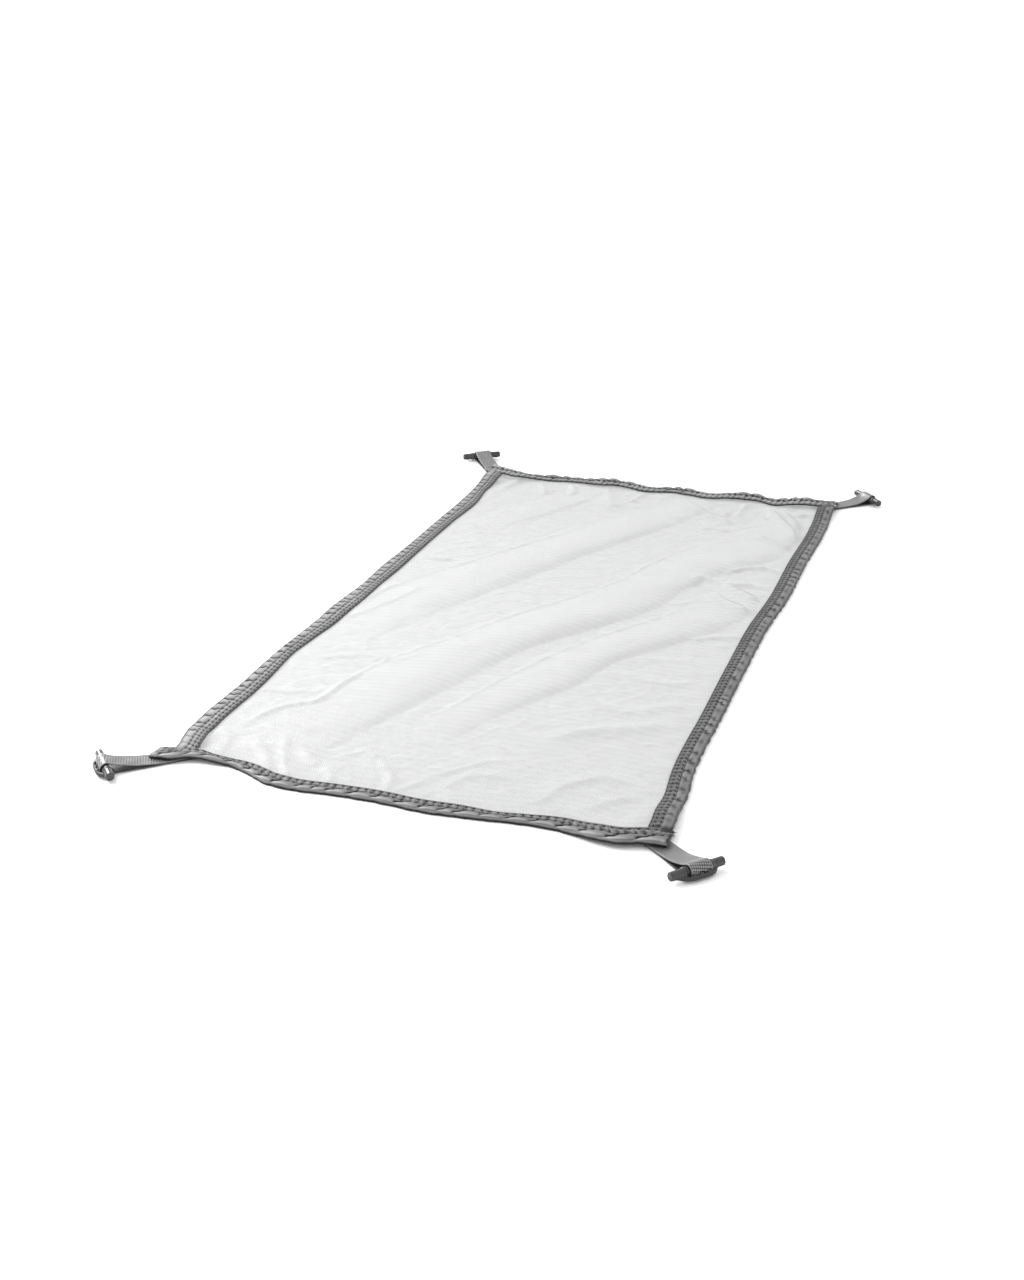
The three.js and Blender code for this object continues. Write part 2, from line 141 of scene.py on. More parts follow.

# Section of a binding in shares of its width, from the wall at its inner edge to the underside, with the
# surface's turns in degrees and its painted light and shade as tones from dark to light: the wall and the
# underside are painted as in shade, and the outer fold is painted lighter or darker by its turn
WALL_SHARES = np.array([0.995, 1, 0.99, 0.97])
WALL_HEIGHTS = np.array([0.4, 0.62, 0.86, 0.97])
WALL_TURNS = [180, 175, 140, 110]
WALL_PAINTED_SHADE = np.array([-1.6, -1.5, -1, -0.4])
WALL_TOP = 0.96
TOP_SHARES = np.concatenate((np.linspace(0.945, 0.12, 25), [0.08, 0.045]))
FOLD_SHARE = 0.045
FOLD_TURNS = [60, 25, -15, -55]
FOLD_LIGHT_AND_SHADE = np.array([1, 0.6, -0.2, -1])
UNDER_SHARES = np.array([0.1, 0.3, 0.6, 0.85, 0.97])
UNDER_LEVEL = 0.04
UNDER_PAINTED_SHADE = -1
CAVITY_STEPS = 16
CAVITY_DEPTH = 0.24

# Thread of the seams
RING = 6
STITCH_RINGS = 7
UNDER_RINGS = 4
THREAD_RADIUS = 0.22
THREAD_TAPER = 0.45
STITCH_GAP = 0.2
STITCH_SUNK = 0.25
STITCH_ARCH = 0.38
DRIFT = 0.12
DRIFT_KEPT = 0.8

# Strokes of the bar tacks
TACK_STROKE = 0.55
TACK_DRIFT = 0.12
TACK_UNEVEN = 0.3
TACK_LIFT = 0.08

# Frayed threads at each cut end of a binding
FRAY_COUNT = 26

# Webbing
WEBBING_WIDTH = 15
WEBBING_SHEET = 1
WEBBING_LAYER = 1.1
WEBBING_STEP = 0.7
LOOP_RADIUS = 4.02
AXIS_HEIGHT = 4.57
WEBBING_ACROSS = np.concatenate(([-1, -0.97], np.linspace(-0.9, 0.9, 15), [0.97, 1]))
WEBBING_HALF = WEBBING_SHEET / 2 * np.concatenate(([0.35, 0.8], np.ones(15), [0.8, 0.35]))
LOBE_HEIGHT = 0.55

# Toggle: half outlines of its bar and rim, each a place along the bar and a distance from its axis
TOGGLE_VOXEL = 0.26
BAR_SIDES = 48
BAR_HALF = [
    (0, 3.1), (8.4, 3.1), (8.8, 3.5), (9.6, 3.52), (10.9, 3.02), (12, 2.92), (15, 2.88), (18.3, 2.88),
    (18.75, 2.72), (18.97, 2.35), (19, 2.2), (19, 0.02),
]
RIM_HALF = [(-16.4, 0.2), (-14.2, 1.5), (-11.8, 4), (-9.2, 5.9), (-5.8, 6.8), (0, 7)]
RIM_POINTS = 60
RIM_BASE = AXIS_HEIGHT - 3.2
RIM_TOP = AXIS_HEIGHT - 0.5
SLOT_HALF = 8.2
SLOT_OUT = 4.95
TOOTH_PITCH = 5.3
TOOTH_LEVELS = (AXIS_HEIGHT - 1.5, AXIS_HEIGHT + 0.6)
TOOTH_FOOT = (5.9, 1.35)
TOOTH_TIP = (4.9, 0.15)

# Outer edges of the panel in plan: place along each edge, then across it
LEFT_EDGE = [
    (-340, -161.5), (-322, -161.5), (-305, -165.5), (-292, -169), (-276, -170.5), (-210, -170.5),
    (-180, -171.5), (-150, -172), (-120, -171.2), (-85, -170.3), (-60, -171), (0, -168.2), (45, -169.5),
    (90, -168.2), (180, -168.2), (228, -168), (270, -169.5), (300, -171.5), (340, -172.5),
]
RIGHT_EDGE = [
    (-340, 175.5), (-318, 175), (-300, 173.5), (-277, 173), (-250, 170), (-147, 168), (-60, 167), (18, 167),
    (73, 170), (176, 170), (240, 171.5), (340, 168.5),
]
NEAR_EDGE = [
    (-172, -340.5), (-163, -339.7), (-156, -338), (-149, -333.8), (-143, -331.7), (-136, -331.5),
    (-114, -332), (-102, -337), (-86, -345), (-74, -347), (-40, -345.5), (-15, -345), (24, -348), (54, -346),
    (82, -343), (110, -343.5), (132, -349.5), (143, -351.5), (163, -346.5), (176, -345.5),
]
FAR_EDGE = [
    (-176, 338.5), (-171, 341), (-164, 337), (-157, 334), (-148, 331), (-134, 327.5), (-116, 330),
    (-104, 331.5), (-88, 333), (-72, 334), (-56, 336), (-39, 336), (-20, 333), (-8, 331), (15, 332.5),
    (34, 332.5), (52, 329.5), (66, 333), (84, 336), (100, 334), (110, 331.5), (126, 333), (142, 334.5),
    (172, 333),
]

# How far the far binding waves up off the surface
FAR_LIFT = [
    (-172, 0), (-104, 0), (-88, 0.2), (-72, 0.5), (-56, 1), (-39, 0.9), (-15, 0), (40, 0.2), (80, 1.2),
    (110, 0), (140, 0.6), (172, 0),
]

# Widths of the bindings
NEAR_WIDTH = [
    (-172, 15.1), (-156, 16.1), (-149, 13.1), (-135, 9.1), (-120, 9.1), (-108, 12.1), (-95, 14.6),
    (-60, 14.1), (12, 14.6), (40, 15.1), (70, 11.1), (90, 13.1), (105, 15.6), (125, 17.6), (150, 19.6),
    (176, 19.6),
]
RIGHT_WIDTH = [(-340, 15.5), (-200, 15), (0, 15.5), (200, 15.5), (340, 15)]
FAR_WIDTH = [
    (-176, 14), (-171, 18.5), (-164, 16), (-157, 13), (-146, 14), (-134, 10.5), (-122, 9.5), (-104, 10),
    (-92, 9), (-80, 9.5), (-66, 12.5), (-54, 14), (-44, 11.5), (-30, 12), (-14, 13.5), (2, 10.5), (14, 8.5),
    (28, 11.5), (46, 13.5), (70, 13.5), (84, 14.5), (98, 12), (112, 14.5), (140, 15), (172, 14),
]
LEFT_WIDTH = [
    (-340, 13.3), (-300, 14.8), (-240, 15.1), (-180, 13.8), (-150, 12.1), (-120, 13.1), (-60, 16.1),
    (-30, 15.3), (0, 13.5), (45, 15.7), (90, 13.7), (180, 13.6), (240, 14.9), (270, 12.5), (300, 14.9),
    (340, 13.8),
]

# Extra height of the far binding's puffs
FAR_RISE = [
    (-176, -0.6), (-172, 1.4), (-168, 0.2), (-163, 1.6), (-156, 0), (-150, 0.5), (-134, -1), (-128, -0.7),
    (-112, 1.5), (-98, 1), (-80, 0.2), (-62, 0.8), (-44, 1.2), (-36, 0.3), (-30, 0.7), (-8, -0.7), (10, 0.9),
    (27, 1.5), (36, 0.3), (52, -1.1), (64, -0.5), (76, 0.5), (94, 1.5), (107, 0.4), (122, 0.9), (142, 0.8),
    (150, -0.2), (172, 0.5),
]

# Bindings: ends, outline, sewn rows as shares of the width, puffs and scallops of the outer part, the puckers
# that pinch them, cells and stitch holes, level and slope of the top, and painted light and shade: tones of
# its outer and inner parts, lighter or darker by how the light falls on each band, how strongly hollows are
# painted dark and puffs pale, and the painted tone of the outer fold
BANDS = {
    "near": dict(
        start=-171.5, end=176.5, edge=NEAR_EDGE, width=NEAR_WIDTH, rows=(0.47, 0.84),
        puff=1.8, scallop=0.6, fade=-0.4, spread=0.75, pitch=(9, 19), depth=(0.6, 1.1), skew=1.3,
        cells=0.3, dimple=1, top=2, slope=0, painted_tones=(-0.95, -0.65), contrast=1.6, fold_light_shade=2.3,
    ),
    "right": dict(
        start=-335, end=328, edge=RIGHT_EDGE, width=RIGHT_WIDTH, rows=(0.52, 0.76, 0.91),
        puff=1.2, scallop=1, fade=-0.3, spread=1.3, pitch=(7, 18), depth=(0.25, 0.9), skew=0.8,
        cells=0.22, dimple=0.9, top=1.8, slope=0.3, painted_tones=(-0.9, -1.15), contrast=1, fold_light_shade=0.9,
    ),
    "far": dict(
        start=-176, end=170.5, edge=FAR_EDGE, width=FAR_WIDTH, rows=(0.4, 0.86),
        puff=1.9, scallop=0.9, fade=-0.5, spread=0.75, pitch=(9, 18), depth=(0.8, 1.3), skew=0.8,
        cells=0.5, dimple=0.9, top=2, slope=0, painted_tones=(0.25, 0.95), contrast=3, fold_light_shade=0,
    ),
    "left": dict(
        start=-333, end=330, edge=LEFT_EDGE, width=LEFT_WIDTH, rows=(0.53, 0.74, 0.92),
        puff=1.7, scallop=0.3, fade=0.05, spread=0.85, pitch=(6.5, 13), depth=(0.7, 1.2), skew=0.5,
        cells=0.18, dimple=0.9, top=2, slope=0.4, painted_tones=(0.95, -0.35), contrast=1.4, fold_light_shade=-2.6,
    ),
}

# Bar tacks of a band: start along it, middle inward, length along, length of a stroke, and its slant
TACKS = {
    "near": [
        (-168.5, 8, 8, 2.6, 1.6), (-164.5, 12, 9, 2.2, 1.6), (-156, 6.5, 7, 2.4, 1.2),
        (163, 12, 10, 2.4, 1.4),
    ],
    "far": [(-172, 8, 9, 3, 1.4), (156, 5, 12, 3, 1.6), (158, 10.5, 10, 2.4, 1.6)],
}

# Billows of the net: the share of the width at which the crest stands, then rows of place along the length,
# left foot, right foot and height of the crest
BILLOWS = [
    (0.6, [
        (150, -150, -118, 0), (190, -146, -98, 3), (225, -122, -76, 5), (260, -100, -60, 5),
        (310, -84, -44, 1.5),
    ]),
    (0.62, [
        (-115, -152, -118, 0), (-60, -152, -98, 5), (0, -146, -72, 8.5), (80, -105, -36, 10),
        (160, -61, 2, 9.5), (230, -20, 38, 8), (310, 28, 72, 2.5),
    ]),
    (0.62, [
        (-312, -122, -74, 0), (-270, -130, -62, 5), (-225, -108, -47, 8), (-150, -94, -21, 11),
        (-80, -58, 5, 12), (-20, -28, 46, 12), (30, 4, 75, 11), (80, 30, 88, 10.5), (130, 45, 112, 9.5),
        (180, 68, 148, 7.5), (230, 93, 150, 5), (290, 125, 152, 0),
    ]),
    (0.6, [
        (-262, -36, 0, 0), (-225, -24, 12, 3.5), (-190, -12, 28, 6), (-140, 4, 55, 9), (-80, 28, 76, 10),
        (-30, 55, 113, 9.5), (10, 82, 138, 8), (50, 100, 150, 5), (95, 112, 152, 0),
    ]),
]

# Creases of the net: height, reach of its left and right flanks, then points in plan
CREASES = [
    (1.3, 7, 2, [(-150, 82), (-135, 78), (-115, 82)]),
    (1, 2.5, 6, [(-138, 180), (-127, 157), (-115, 137), (-101, 112)]),
    (0.8, 8, 1.9, [(-160, -62), (-149, -66), (-132, -33), (-122, -8), (-119, 16)]),
    (0.8, 5, 3, [
        (-174, -134), (-156, -140), (-140, -149), (-121, -140), (-102, -134), (-83, -137), (-71, -125),
        (-56, -86),
    ]),
    (1.3, 4.5, 2.1, [(-140, -284), (-132, -248), (-122, -233), (-106, -218), (-102, -188), (-94, -150)]),
    (0.9, 4, 2, [(-170, -221), (-146, -215), (-132, -212), (-108, -202)]),
    (1.7, 5, 2.6, [(87, 66), (90, 92), (98, 103), (115, 97), (135, 102), (150, 95)]),
    (2, 5, 2.2, [(106, 120), (122, 137), (140, 143), (152, 136)]),
    (2.4, 2.2, 6, [(112, 100), (132, 82), (151, 68)]),
    (2.4, 2.2, 6, [(108, 82), (121, 60), (137, 48), (151, 35)]),
    (3.6, 3, 8, [(108, 312), (120, 287), (135, 257), (147, 232), (151, 200)]),
    (2.8, 2.5, 5, [(122, 302), (137, 277), (151, 246)]),
    (1.6, 5, 5, [(134, 304), (140, 294), (148, 290)]),
    (2.2, 2.6, 7, [(26, 312), (42, 288), (60, 273), (80, 259), (91, 246)]),
    (1.1, 4, 2.6, [(62, 230), (75, 232), (90, 228)]),
    (2, 2.5, 5, [(113, 222), (135, 208), (152, 198)]),
    (2.2, 7, 6, [(-49, 318), (-40, 292), (-26, 254)]),
    (2, 5, 4, [(-117, 318), (-107, 297), (-97, 278)]),
    (1.6, 4, 4, [(-134, 314), (-139, 297), (-146, 284)]),
    (1.6, 4, 3, [(-86, 318), (-77, 296), (-74, 280)]),
    (1.5, 4, 3, [(-8, 318), (-14, 296), (-16, 280)]),
    (2.2, 6, 3, [(48, 312), (68, 288), (82, 268)]),
    (1.6, 4, 3, [(90, 316), (88, 288), (87, 262)]),
    (1.9, 2.3, 4.5, [(-90, -286), (-72, -305), (-61, -309), (-51, -319), (-40, -346)]),
    (1.5, 2.3, 4.5, [(-104, -272), (-93, -300), (-84, -318), (-64, -346)]),
    (0.8, 2.1, 4.5, [(-153, -276), (-137, -296), (-127, -334)]),
    (1.5, 2.3, 4.5, [(-126, -282), (-108, -302), (-97, -317), (-80, -346)]),
    (1.6, 2.3, 4.5, [(-56, -276), (-34, -286), (-20, -300), (-11, -314), (-4, -348)]),
    (0.9, 4.5, 2.1, [(-16, -346), (3, -319), (13, -300), (27, -283), (42, -268), (70, -258)]),
    (1.1, 6, 4, [(24, -318), (35, -293), (68, -283)]),
    (1.3, 8, 4, [(84, -326), (92, -295), (105, -275), (120, -268), (150, -274)]),
    (1.1, 6, 4, [(113, -318), (134, -293), (152, -287)]),
    (2, 8, 8, [(56, -236), (85, -208), (115, -193), (150, -170)]),
    (1.2, 6, 6, [(62, -112), (85, -108), (115, -113), (150, -96)]),
    (1, 5, 5, [(82, -80), (110, -70), (127, -78), (137, -96)]),
    (1.5, 5, 3, [(112, -30), (135, -16), (152, -14)]),
    (1.1, 6, 6, [(72, -157), (105, -165), (145, -140)]),
]

# Corners: middle of the toggle's bar, direction outward in degrees, where the webbing's layers meet, where it
# ends, fullness of its fall, how far it has slid along the bar, and degrees past the bar's top that it hugs
CORNERS = {
    "near_left": dict(bar=(-192.2, -361), outward=222, meet=37, end=58, fullness=1, slid=-0.8, hug=30),
    "near_right": dict(bar=(199.5, -366), outward=-41, meet=33, end=56, fullness=0.3, slid=0.8, hug=28),
    "far_left": dict(bar=(-197, 370), outward=125, meet=41, end=60, fullness=2.5, slid=-0.8, hug=12),
    "far_right": dict(bar=(194.5, 357), outward=42, meet=32, end=52, fullness=-0.2, slid=0, hug=42),
}


def smoothstep(value, low=0, high=1):
    share = np.clip((value - low) / (high - low), 0, 1)
    return share * share * (3 - 2 * share)


def ease(low, share):
    """Runs from low to 1 as the share runs from 0 to 1."""
    return low + (1 - low) * share


def curve(rows, at, column=1):
    """A smooth line through a table's rows, read at many places."""
    table = np.array(rows, float)
    x, y = table[:, 0], table[:, column]
    step = np.diff(x)
    slope = np.diff(y) / step
    middle = (slope[:-1] * step[1:] + slope[1:] * step[:-1]) / (step[:-1] + step[1:])
    tangent = np.concatenate((slope[:1], middle, slope[-1:]))
    at = np.clip(at, x[0], x[-1])
    i = np.clip(np.searchsorted(x, at) - 1, 0, len(step) - 1)
    t = (at - x[i]) / step[i]
    start = (1 + 2 * t) * (1 - t) ** 2 * y[i] + t * (1 - t) ** 2 * step[i] * tangent[i]
    end = t * t * (3 - 2 * t) * y[i + 1] + t * t * (t - 1) * step[i] * tangent[i + 1]
    return start + end


def ripple(place, waves):
    """An uneven wave between about -1 and 1: a sum of sines, each a wavelength and a phase."""
    total = sum(np.sin(2 * np.pi * place / length + phase) for length, phase in waves)
    return total / len(waves)


def make_object(name, points, faces, uvs=None, painted_light_and_shade=None, sharp=50):
    """A mesh object from points in millimetres and an array of quads, with a UV and a value of painted light
    and shade for each point.
    """
    mesh = bpy.data.meshes.new(name)
    points = np.asarray(points, np.float32).reshape(-1, 3) * MM
    faces = np.asarray(faces)
    mesh.from_pydata(points.tolist(), [], faces.tolist())
    if uvs is not None:
        layer = mesh.uv_layers.new(name="Cloth")
        layer.data.foreach_set("uv", np.asarray(uvs, np.float32).reshape(-1, 2)[faces.ravel()].ravel())
    # Each point's value of painted light and shade, read by the materials
    if painted_light_and_shade is not None:
        layer = mesh.attributes.new("painted_light_and_shade", "FLOAT", "POINT")
        layer.data.foreach_set("value", np.asarray(painted_light_and_shade, np.float32).ravel())
    mesh.validate()
    mesh.polygons.foreach_set("use_smooth", np.ones(len(mesh.polygons), bool))
    mesh.set_sharp_from_angle(angle=math.radians(sharp))
    piece = bpy.data.objects.new(name, mesh)
    bpy.context.scene.collection.objects.link(piece)
    return piece


def grid_faces(rows, columns, wrap=False):
    """Quads of a grid of points; wrap joins the last column to the first."""
    row = np.arange(rows - 1)[:, None] * columns
    column = np.arange(columns if wrap else columns - 1)[None, :]
    after = (column + 1) % columns
    quads = np.stack((row + column, row + after, row + columns + after, row + columns + column), -1)
    return quads.reshape(-1, 4)


def strip_faces(rows, columns):
    """Quads of a closed strip: each row of points is a face path, then the back path in the same order."""
    half = columns // 2
    order = np.concatenate((np.arange(half), np.arange(columns - 1, half - 1, -1)))
    around = grid_faces(rows, columns, wrap=True)
    around = (around // columns) * columns + order[around % columns]
    caps = []
    for row in (0, rows - 1):
        face = row * columns + np.arange(half)
        back = face + half
        quads = np.stack((face[:-1], back[:-1], back[1:], face[1:]), -1)
        caps.append(quads if row == 0 else quads[:, ::-1])
    return np.concatenate([around] + caps)


# Net


def edge_lift(side, along):
    """How far an edge of the panel is lifted, by its corners and by its own waves."""
    half = HALF_LENGTH if side in TUCKED else HALF_WIDTH
    lift = CORNER_LIFT * (1 - smoothstep(half - np.abs(along), LIFT_FLAT, LIFT_END))
    return np.maximum(lift, curve(FAR_LIFT, along)) if side == "far" else lift


def billow_height(x, y):
    """Each billow rises evenly from its left foot to the crest, and rolls down steeply to its right foot."""
    height = np.zeros_like(x)
    for crest_at, rows in BILLOWS:
        inside = (y > rows[0][0]) & (y < rows[-1][0])
        left = curve(rows, y, 1)
        right = curve(rows, y, 2)
        crest = np.maximum(curve(rows, y, 3), 0)
        share = np.clip((x - left) / (right - left), 0, 1)
        rise = share / crest_at * (1 + ROUNDING - ROUNDING * share / crest_at)
        fall = 1 - np.clip((share - crest_at) / (1 - crest_at), 0, 1) ** ROLL_POWER
        ramp = np.where(share < crest_at, rise, fall)
        height = np.maximum(height, np.where(inside, BILLOW_SHARE * crest * ramp, 0))
    return height


def crease_height(x, y, height, left_reach, right_reach, points):
    """A soft ridge along a line in plan, which dies out at both ends; each flank has its reach."""
    at = np.linspace(0, len(points) - 1, CREASE_STEPS)
    rows = [(i, *point) for i, point in enumerate(points)]
    path = np.stack((curve(rows, at, 1), curve(rows, at, 2)), -1)
    reach = 3 * max(left_reach, right_reach)
    low, high = path.min(0) - reach, path.max(0) + reach
    result = np.zeros_like(x)
    near = (x > low[0]) & (x < high[0]) & (y > low[1]) & (y < high[1])
    place = np.stack((x[near], y[near]), -1)
    best = np.full(len(place), np.inf)
    along = np.zeros(len(place))
    aside = np.zeros(len(place))
    for i in range(len(path) - 1):
        step = path[i + 1] - path[i]
        offset = place - path[i]
        t = np.clip((offset @ step) / (step @ step), 0, 1)
        distance = np.hypot(*(offset - t[:, None] * step).T)
        closer = distance < best
        best = np.where(closer, distance, best)
        along = np.where(closer, (i + t) / (len(path) - 1), along)
        aside = np.where(closer, step[0] * offset[:, 1] - step[1] * offset[:, 0], aside)
    taper = smoothstep(along, 0, CREASE_TAPER) * (1 - smoothstep(along, 1 - CREASE_TAPER, 1))
    flank = np.where(aside > 0, left_reach, right_reach)
    result[near] = height * taper * np.exp(-((best / flank) ** 2))
    return result


def billow_feet():
    """The thin crease along the left foot of each billow."""
    return [(*FOOT_CREASE, [(left, y) for y, left, _, _ in rows[1:-1]]) for _, rows in BILLOWS[1:]]


def mottle(x, y):
    """Low watery swells where the net lies flat."""
    bent_x = x + 7 * np.sin(y / 13) + 4 * np.sin(y / 5.9 + 1)
    bent_y = y + 7 * np.sin(x / 11 + 2) + 4 * np.sin(x / 6.3)
    swell = ripple(bent_x + 0.4 * bent_y, [(17, 0), (9.1, 2)])
    swell = swell + ripple(bent_y - 0.5 * bent_x, [(21, 1), (10.7, 3)])
    return MOTTLE * (swell + 1)


def net_sides(x, y):
    """For each side of the net: distance to its binding, and place along it."""
    return {
        "left": (x - curve(LEFT_EDGE, y) - curve(LEFT_WIDTH, y), y),
        "right": (curve(RIGHT_EDGE, y) - curve(RIGHT_WIDTH, y) - x, y),
        "near": (y - curve(NEAR_EDGE, x) - curve(NEAR_WIDTH, x), x),
        "far": (curve(FAR_EDGE, x) - curve(FAR_WIDTH, x) - y, x),
    }


def net_height(x, y):
    """Height of the net, and the part of it that is creases."""
    height = billow_height(x, y)
    height = height + mottle(x, y) * (1 - smoothstep(height, 0, MOTTLE_FADE))
    creases = np.zeros_like(x)
    for crease in CREASES + billow_feet():
        creases = creases + CREASE_SHARE * crease_height(x, y, *crease)
    for side, (distance, along) in net_sides(x, y).items():
        phase, fullness = BUNCHES[side]
        waves = [(length, (i + 1) * phase) for i, length in enumerate(BUNCH_WAVES)]
        bunch = ripple(along + BUNCH_SLANT * distance, waves)
        fall = SEAM_FALL * (1 + FALL_VARIES * bunch)
        edge = (edge_lift(side, along) + SEAM_LEVEL) * (1 - smoothstep(distance, 0, fall))
        ridge = fullness * np.maximum(bunch, 0) * smoothstep(distance, 0, BUNCH_START)
        ridge = ridge * (1 - smoothstep(distance, *BUNCH_END))
        inside = smoothstep(distance, 0, BILLOW_START)
        creases = creases * smoothstep(distance, 0, CREASE_START)
        height = np.maximum(height * inside, edge + ridge)
    return height + creases + NET_LEVEL, creases


def make_net():
    columns = round(2 * (HALF_WIDTH - NET_INSET) / NET_STEP) + 1
    rows = round(2 * (HALF_LENGTH - NET_INSET) / NET_STEP) + 1
    across, along = np.meshgrid(np.linspace(0, 1, columns), np.linspace(0, 1, rows))
    straight_x = (2 * across - 1) * (HALF_WIDTH - NET_INSET)
    straight_y = (2 * along - 1) * (HALF_LENGTH - NET_INSET)
    x = straight_x + (curve(LEFT_EDGE, straight_y) + HALF_WIDTH) * (1 - smoothstep(across, 0, EDGE_SHARE))
    x = x + (curve(RIGHT_EDGE, straight_y) - HALF_WIDTH) * smoothstep(across, 1 - EDGE_SHARE, 1)
    y = straight_y + (curve(NEAR_EDGE, x) + HALF_LENGTH) * (1 - smoothstep(along, 0, EDGE_SHARE))
    y = y + (curve(FAR_EDGE, x) - HALF_LENGTH) * smoothstep(along, 1 - EDGE_SHARE, 1)
    height, creases = net_height(x, y)
    # Painted shade on the crease flanks that face away from the light, from the creases' slope towards it
    rise_along, rise_across = np.gradient(creases, NET_STEP)
    flank_shade = np.clip(LIGHT_SIDE[0] * rise_across + LIGHT_SIDE[1] * rise_along, 0, 1)
    points = np.stack((x, y, height), -1)
    uvs = np.stack((straight_x, straight_y), -1)
    return make_object("net", points, grid_faces(rows, columns), uvs, flank_shade)


# Bindings


def pucker_lines(side):
    """Places along a band where a pucker's crease starts, and how deep each is."""
    band = BANDS[side]
    chance = random.Random(f"{SEED} {side}")
    places = [band["start"] - 2 * band["pitch"][1]]
    while places[-1] < band["end"] + 2 * band["pitch"][1]:
        places.append(places[-1] + chance.uniform(*band["pitch"]))
    depths = [chance.uniform(*band["depth"]) for _ in places]
    return np.array(places), np.array(depths)


PUCKERS = {side: pucker_lines(side) for side in BANDS}


def pucker(side, along, inward):
    """How far a point lies down in a crease between two puffs, 0 to about 1."""
    band = BANDS[side]
    places, depths = PUCKERS[side]
    slanted = along - band["skew"] * inward
    slanted = slanted + PUCKER_WANDER * ripple(along + 1.7 * inward, PUCKER_WAVES)
    i = np.clip(np.searchsorted(places, slanted) - 1, 0, len(places) - 2)
    part = np.clip((slanted - places[i]) / (places[i + 1] - places[i]), 0, 1)
    depth = depths[i] * (1 - part) + depths[i + 1] * part
    if side in TUCKED:
        depth = depth * ease(PUCKER_EASED, smoothstep(HALF_LENGTH - np.abs(along), 20, 60))
    return depth * (1 - np.sin(np.pi * part ** PUCKER_LEAN) ** band["spread"])


def to_end(side, along):
    """Distance along a band to its nearer end."""
    return np.minimum(along - BANDS[side]["start"], BANDS[side]["end"] - along)


def puff_height(side, along, inward, share):
    """The full outer part of a band, pinched by its puckers; it ends at the first sewn row."""
    band = BANDS[side]
    first_row = band["rows"][0]
    puffed = np.clip(share / first_row, 0, 1)
    crown = np.sqrt(np.sin(np.pi * np.clip(puffed, 0.03, 0.94)))
    puff = band["puff"] + (curve(FAR_RISE, along) if side == "far" else 0)
    pinch = pucker(side, along, inward) * smoothstep(puffed, band["fade"], PUFF_FULL)
    return puff * crown * (1 - pinch) * (1 - smoothstep(share, first_row, first_row + PUFF_FALL))


def cell_height(side, along, inward, share):
    """Small pillows between the first and last sewn rows, one for each stitch."""
    band = BANDS[side]
    first_row, last_row = band["rows"][0], band["rows"][-1]
    inner_share = np.clip((share - first_row) / (last_row - first_row), 0, 1)
    stitches = (along - band["start"] + 0.5 * inward) / STITCH_LENGTH
    pillow = np.abs(np.sin(np.pi * stitches)) ** CELL_POWER
    uneven = ripple(along + 0.6 * inward, CELL_WAVES)
    return np.sin(np.pi * inner_share) ** CELL_POWER * band["cells"] * (0.2 + 1.4 * pillow + uneven)


def band_top(side, along, inward):
    """Height of a band's upper face over its underside."""
    band = BANDS[side]
    width = curve(band["width"], along)
    share = inward / width
    height = band["top"] + puff_height(side, along, inward, share) + cell_height(side, along, inward, share)
    height = height - band["slope"] * smoothstep(share, band["rows"][-1] - SLOPE_REACH, 1)
    to_hole = (along - band["start"]) % STITCH_LENGTH
    to_hole = np.minimum(to_hole, STITCH_LENGTH - to_hole)
    for row in band["rows"]:
        away = inward - row * width
        groove = GROOVE_DEPTH * np.exp(-((away / GROOVE) ** 2))
        hole = np.exp(-((away ** 2 + to_hole ** 2) / HOLE ** 2))
        height = height - band["dimple"] * (groove + hole)
    if side in TUCKED:
        return height * ease(TUCK_HEIGHT, smoothstep(to_end(side, along), 0, TUCK_REACH))
    return height * ease(CUT_HEIGHT, smoothstep(to_end(side, along), 0, CUT_REACH))


def band_lift(side, along):
    """Height of a band's underside over the surface that the loft lies on."""
    lift = edge_lift(side, along)
    if side in TUCKED:
        lift = lift + TUCK_LIFT * (1 - smoothstep(to_end(side, along), 0, TUCK_REACH))
    return lift


def band_place(side, along, inward):
    """Plan position of a point on a band."""
    edge = curve(BANDS[side]["edge"], along)
    across = edge + inward if side in ("near", "left") else edge - inward
    return (across, along) if side in TUCKED else (along, across)


def soften(values, steps):
    """Values of a grid, averaged with their neighbours many times over, along and across in turn."""
    for _ in range(2 * steps):
        wide = np.pad(values, ((1, 1), (0, 0)), mode="edge")
        values = (wide[:-2] + 2 * values + wide[2:]).T / 4
    return values


def band_section(side, along):
    """Outer face of a band, from its wall to its underside: distance inward, height, turn of the surface, and
    the heights of the top alone."""
    width = curve(BANDS[side]["width"], along)
    scallop = BANDS[side]["scallop"] * (pucker(side, along, 0.2 * width) - 0.3)
    outline = 0.35 * ripple(along, [(17, 0.5), (9, 2.5), (41, 1)]) + scallop
    angles = np.radians(FOLD_TURNS)
    wall = WALL_HEIGHTS * band_top(side, along, WALL_TOP * width)
    top = band_top(side, along, TOP_SHARES * width)
    fold = band_top(side, along, FOLD_SHARE * width) * (0.5 + 0.5 * np.sin(angles))
    fold_inward = FOLD_SHARE * width * (1 - np.cos(angles)) + outline * np.cos(angles)
    under = np.full((len(along), UNDER_SHARES.size), UNDER_LEVEL)
    inward = np.concatenate((WALL_SHARES * width, TOP_SHARES * width, fold_inward, UNDER_SHARES * width), 1)
    height = np.concatenate((wall, top, fold, under), 1)
    turn = WALL_TURNS + [90] * TOP_SHARES.size + FOLD_TURNS + [-90] * UNDER_SHARES.size
    return inward, height, np.radians(turn), top


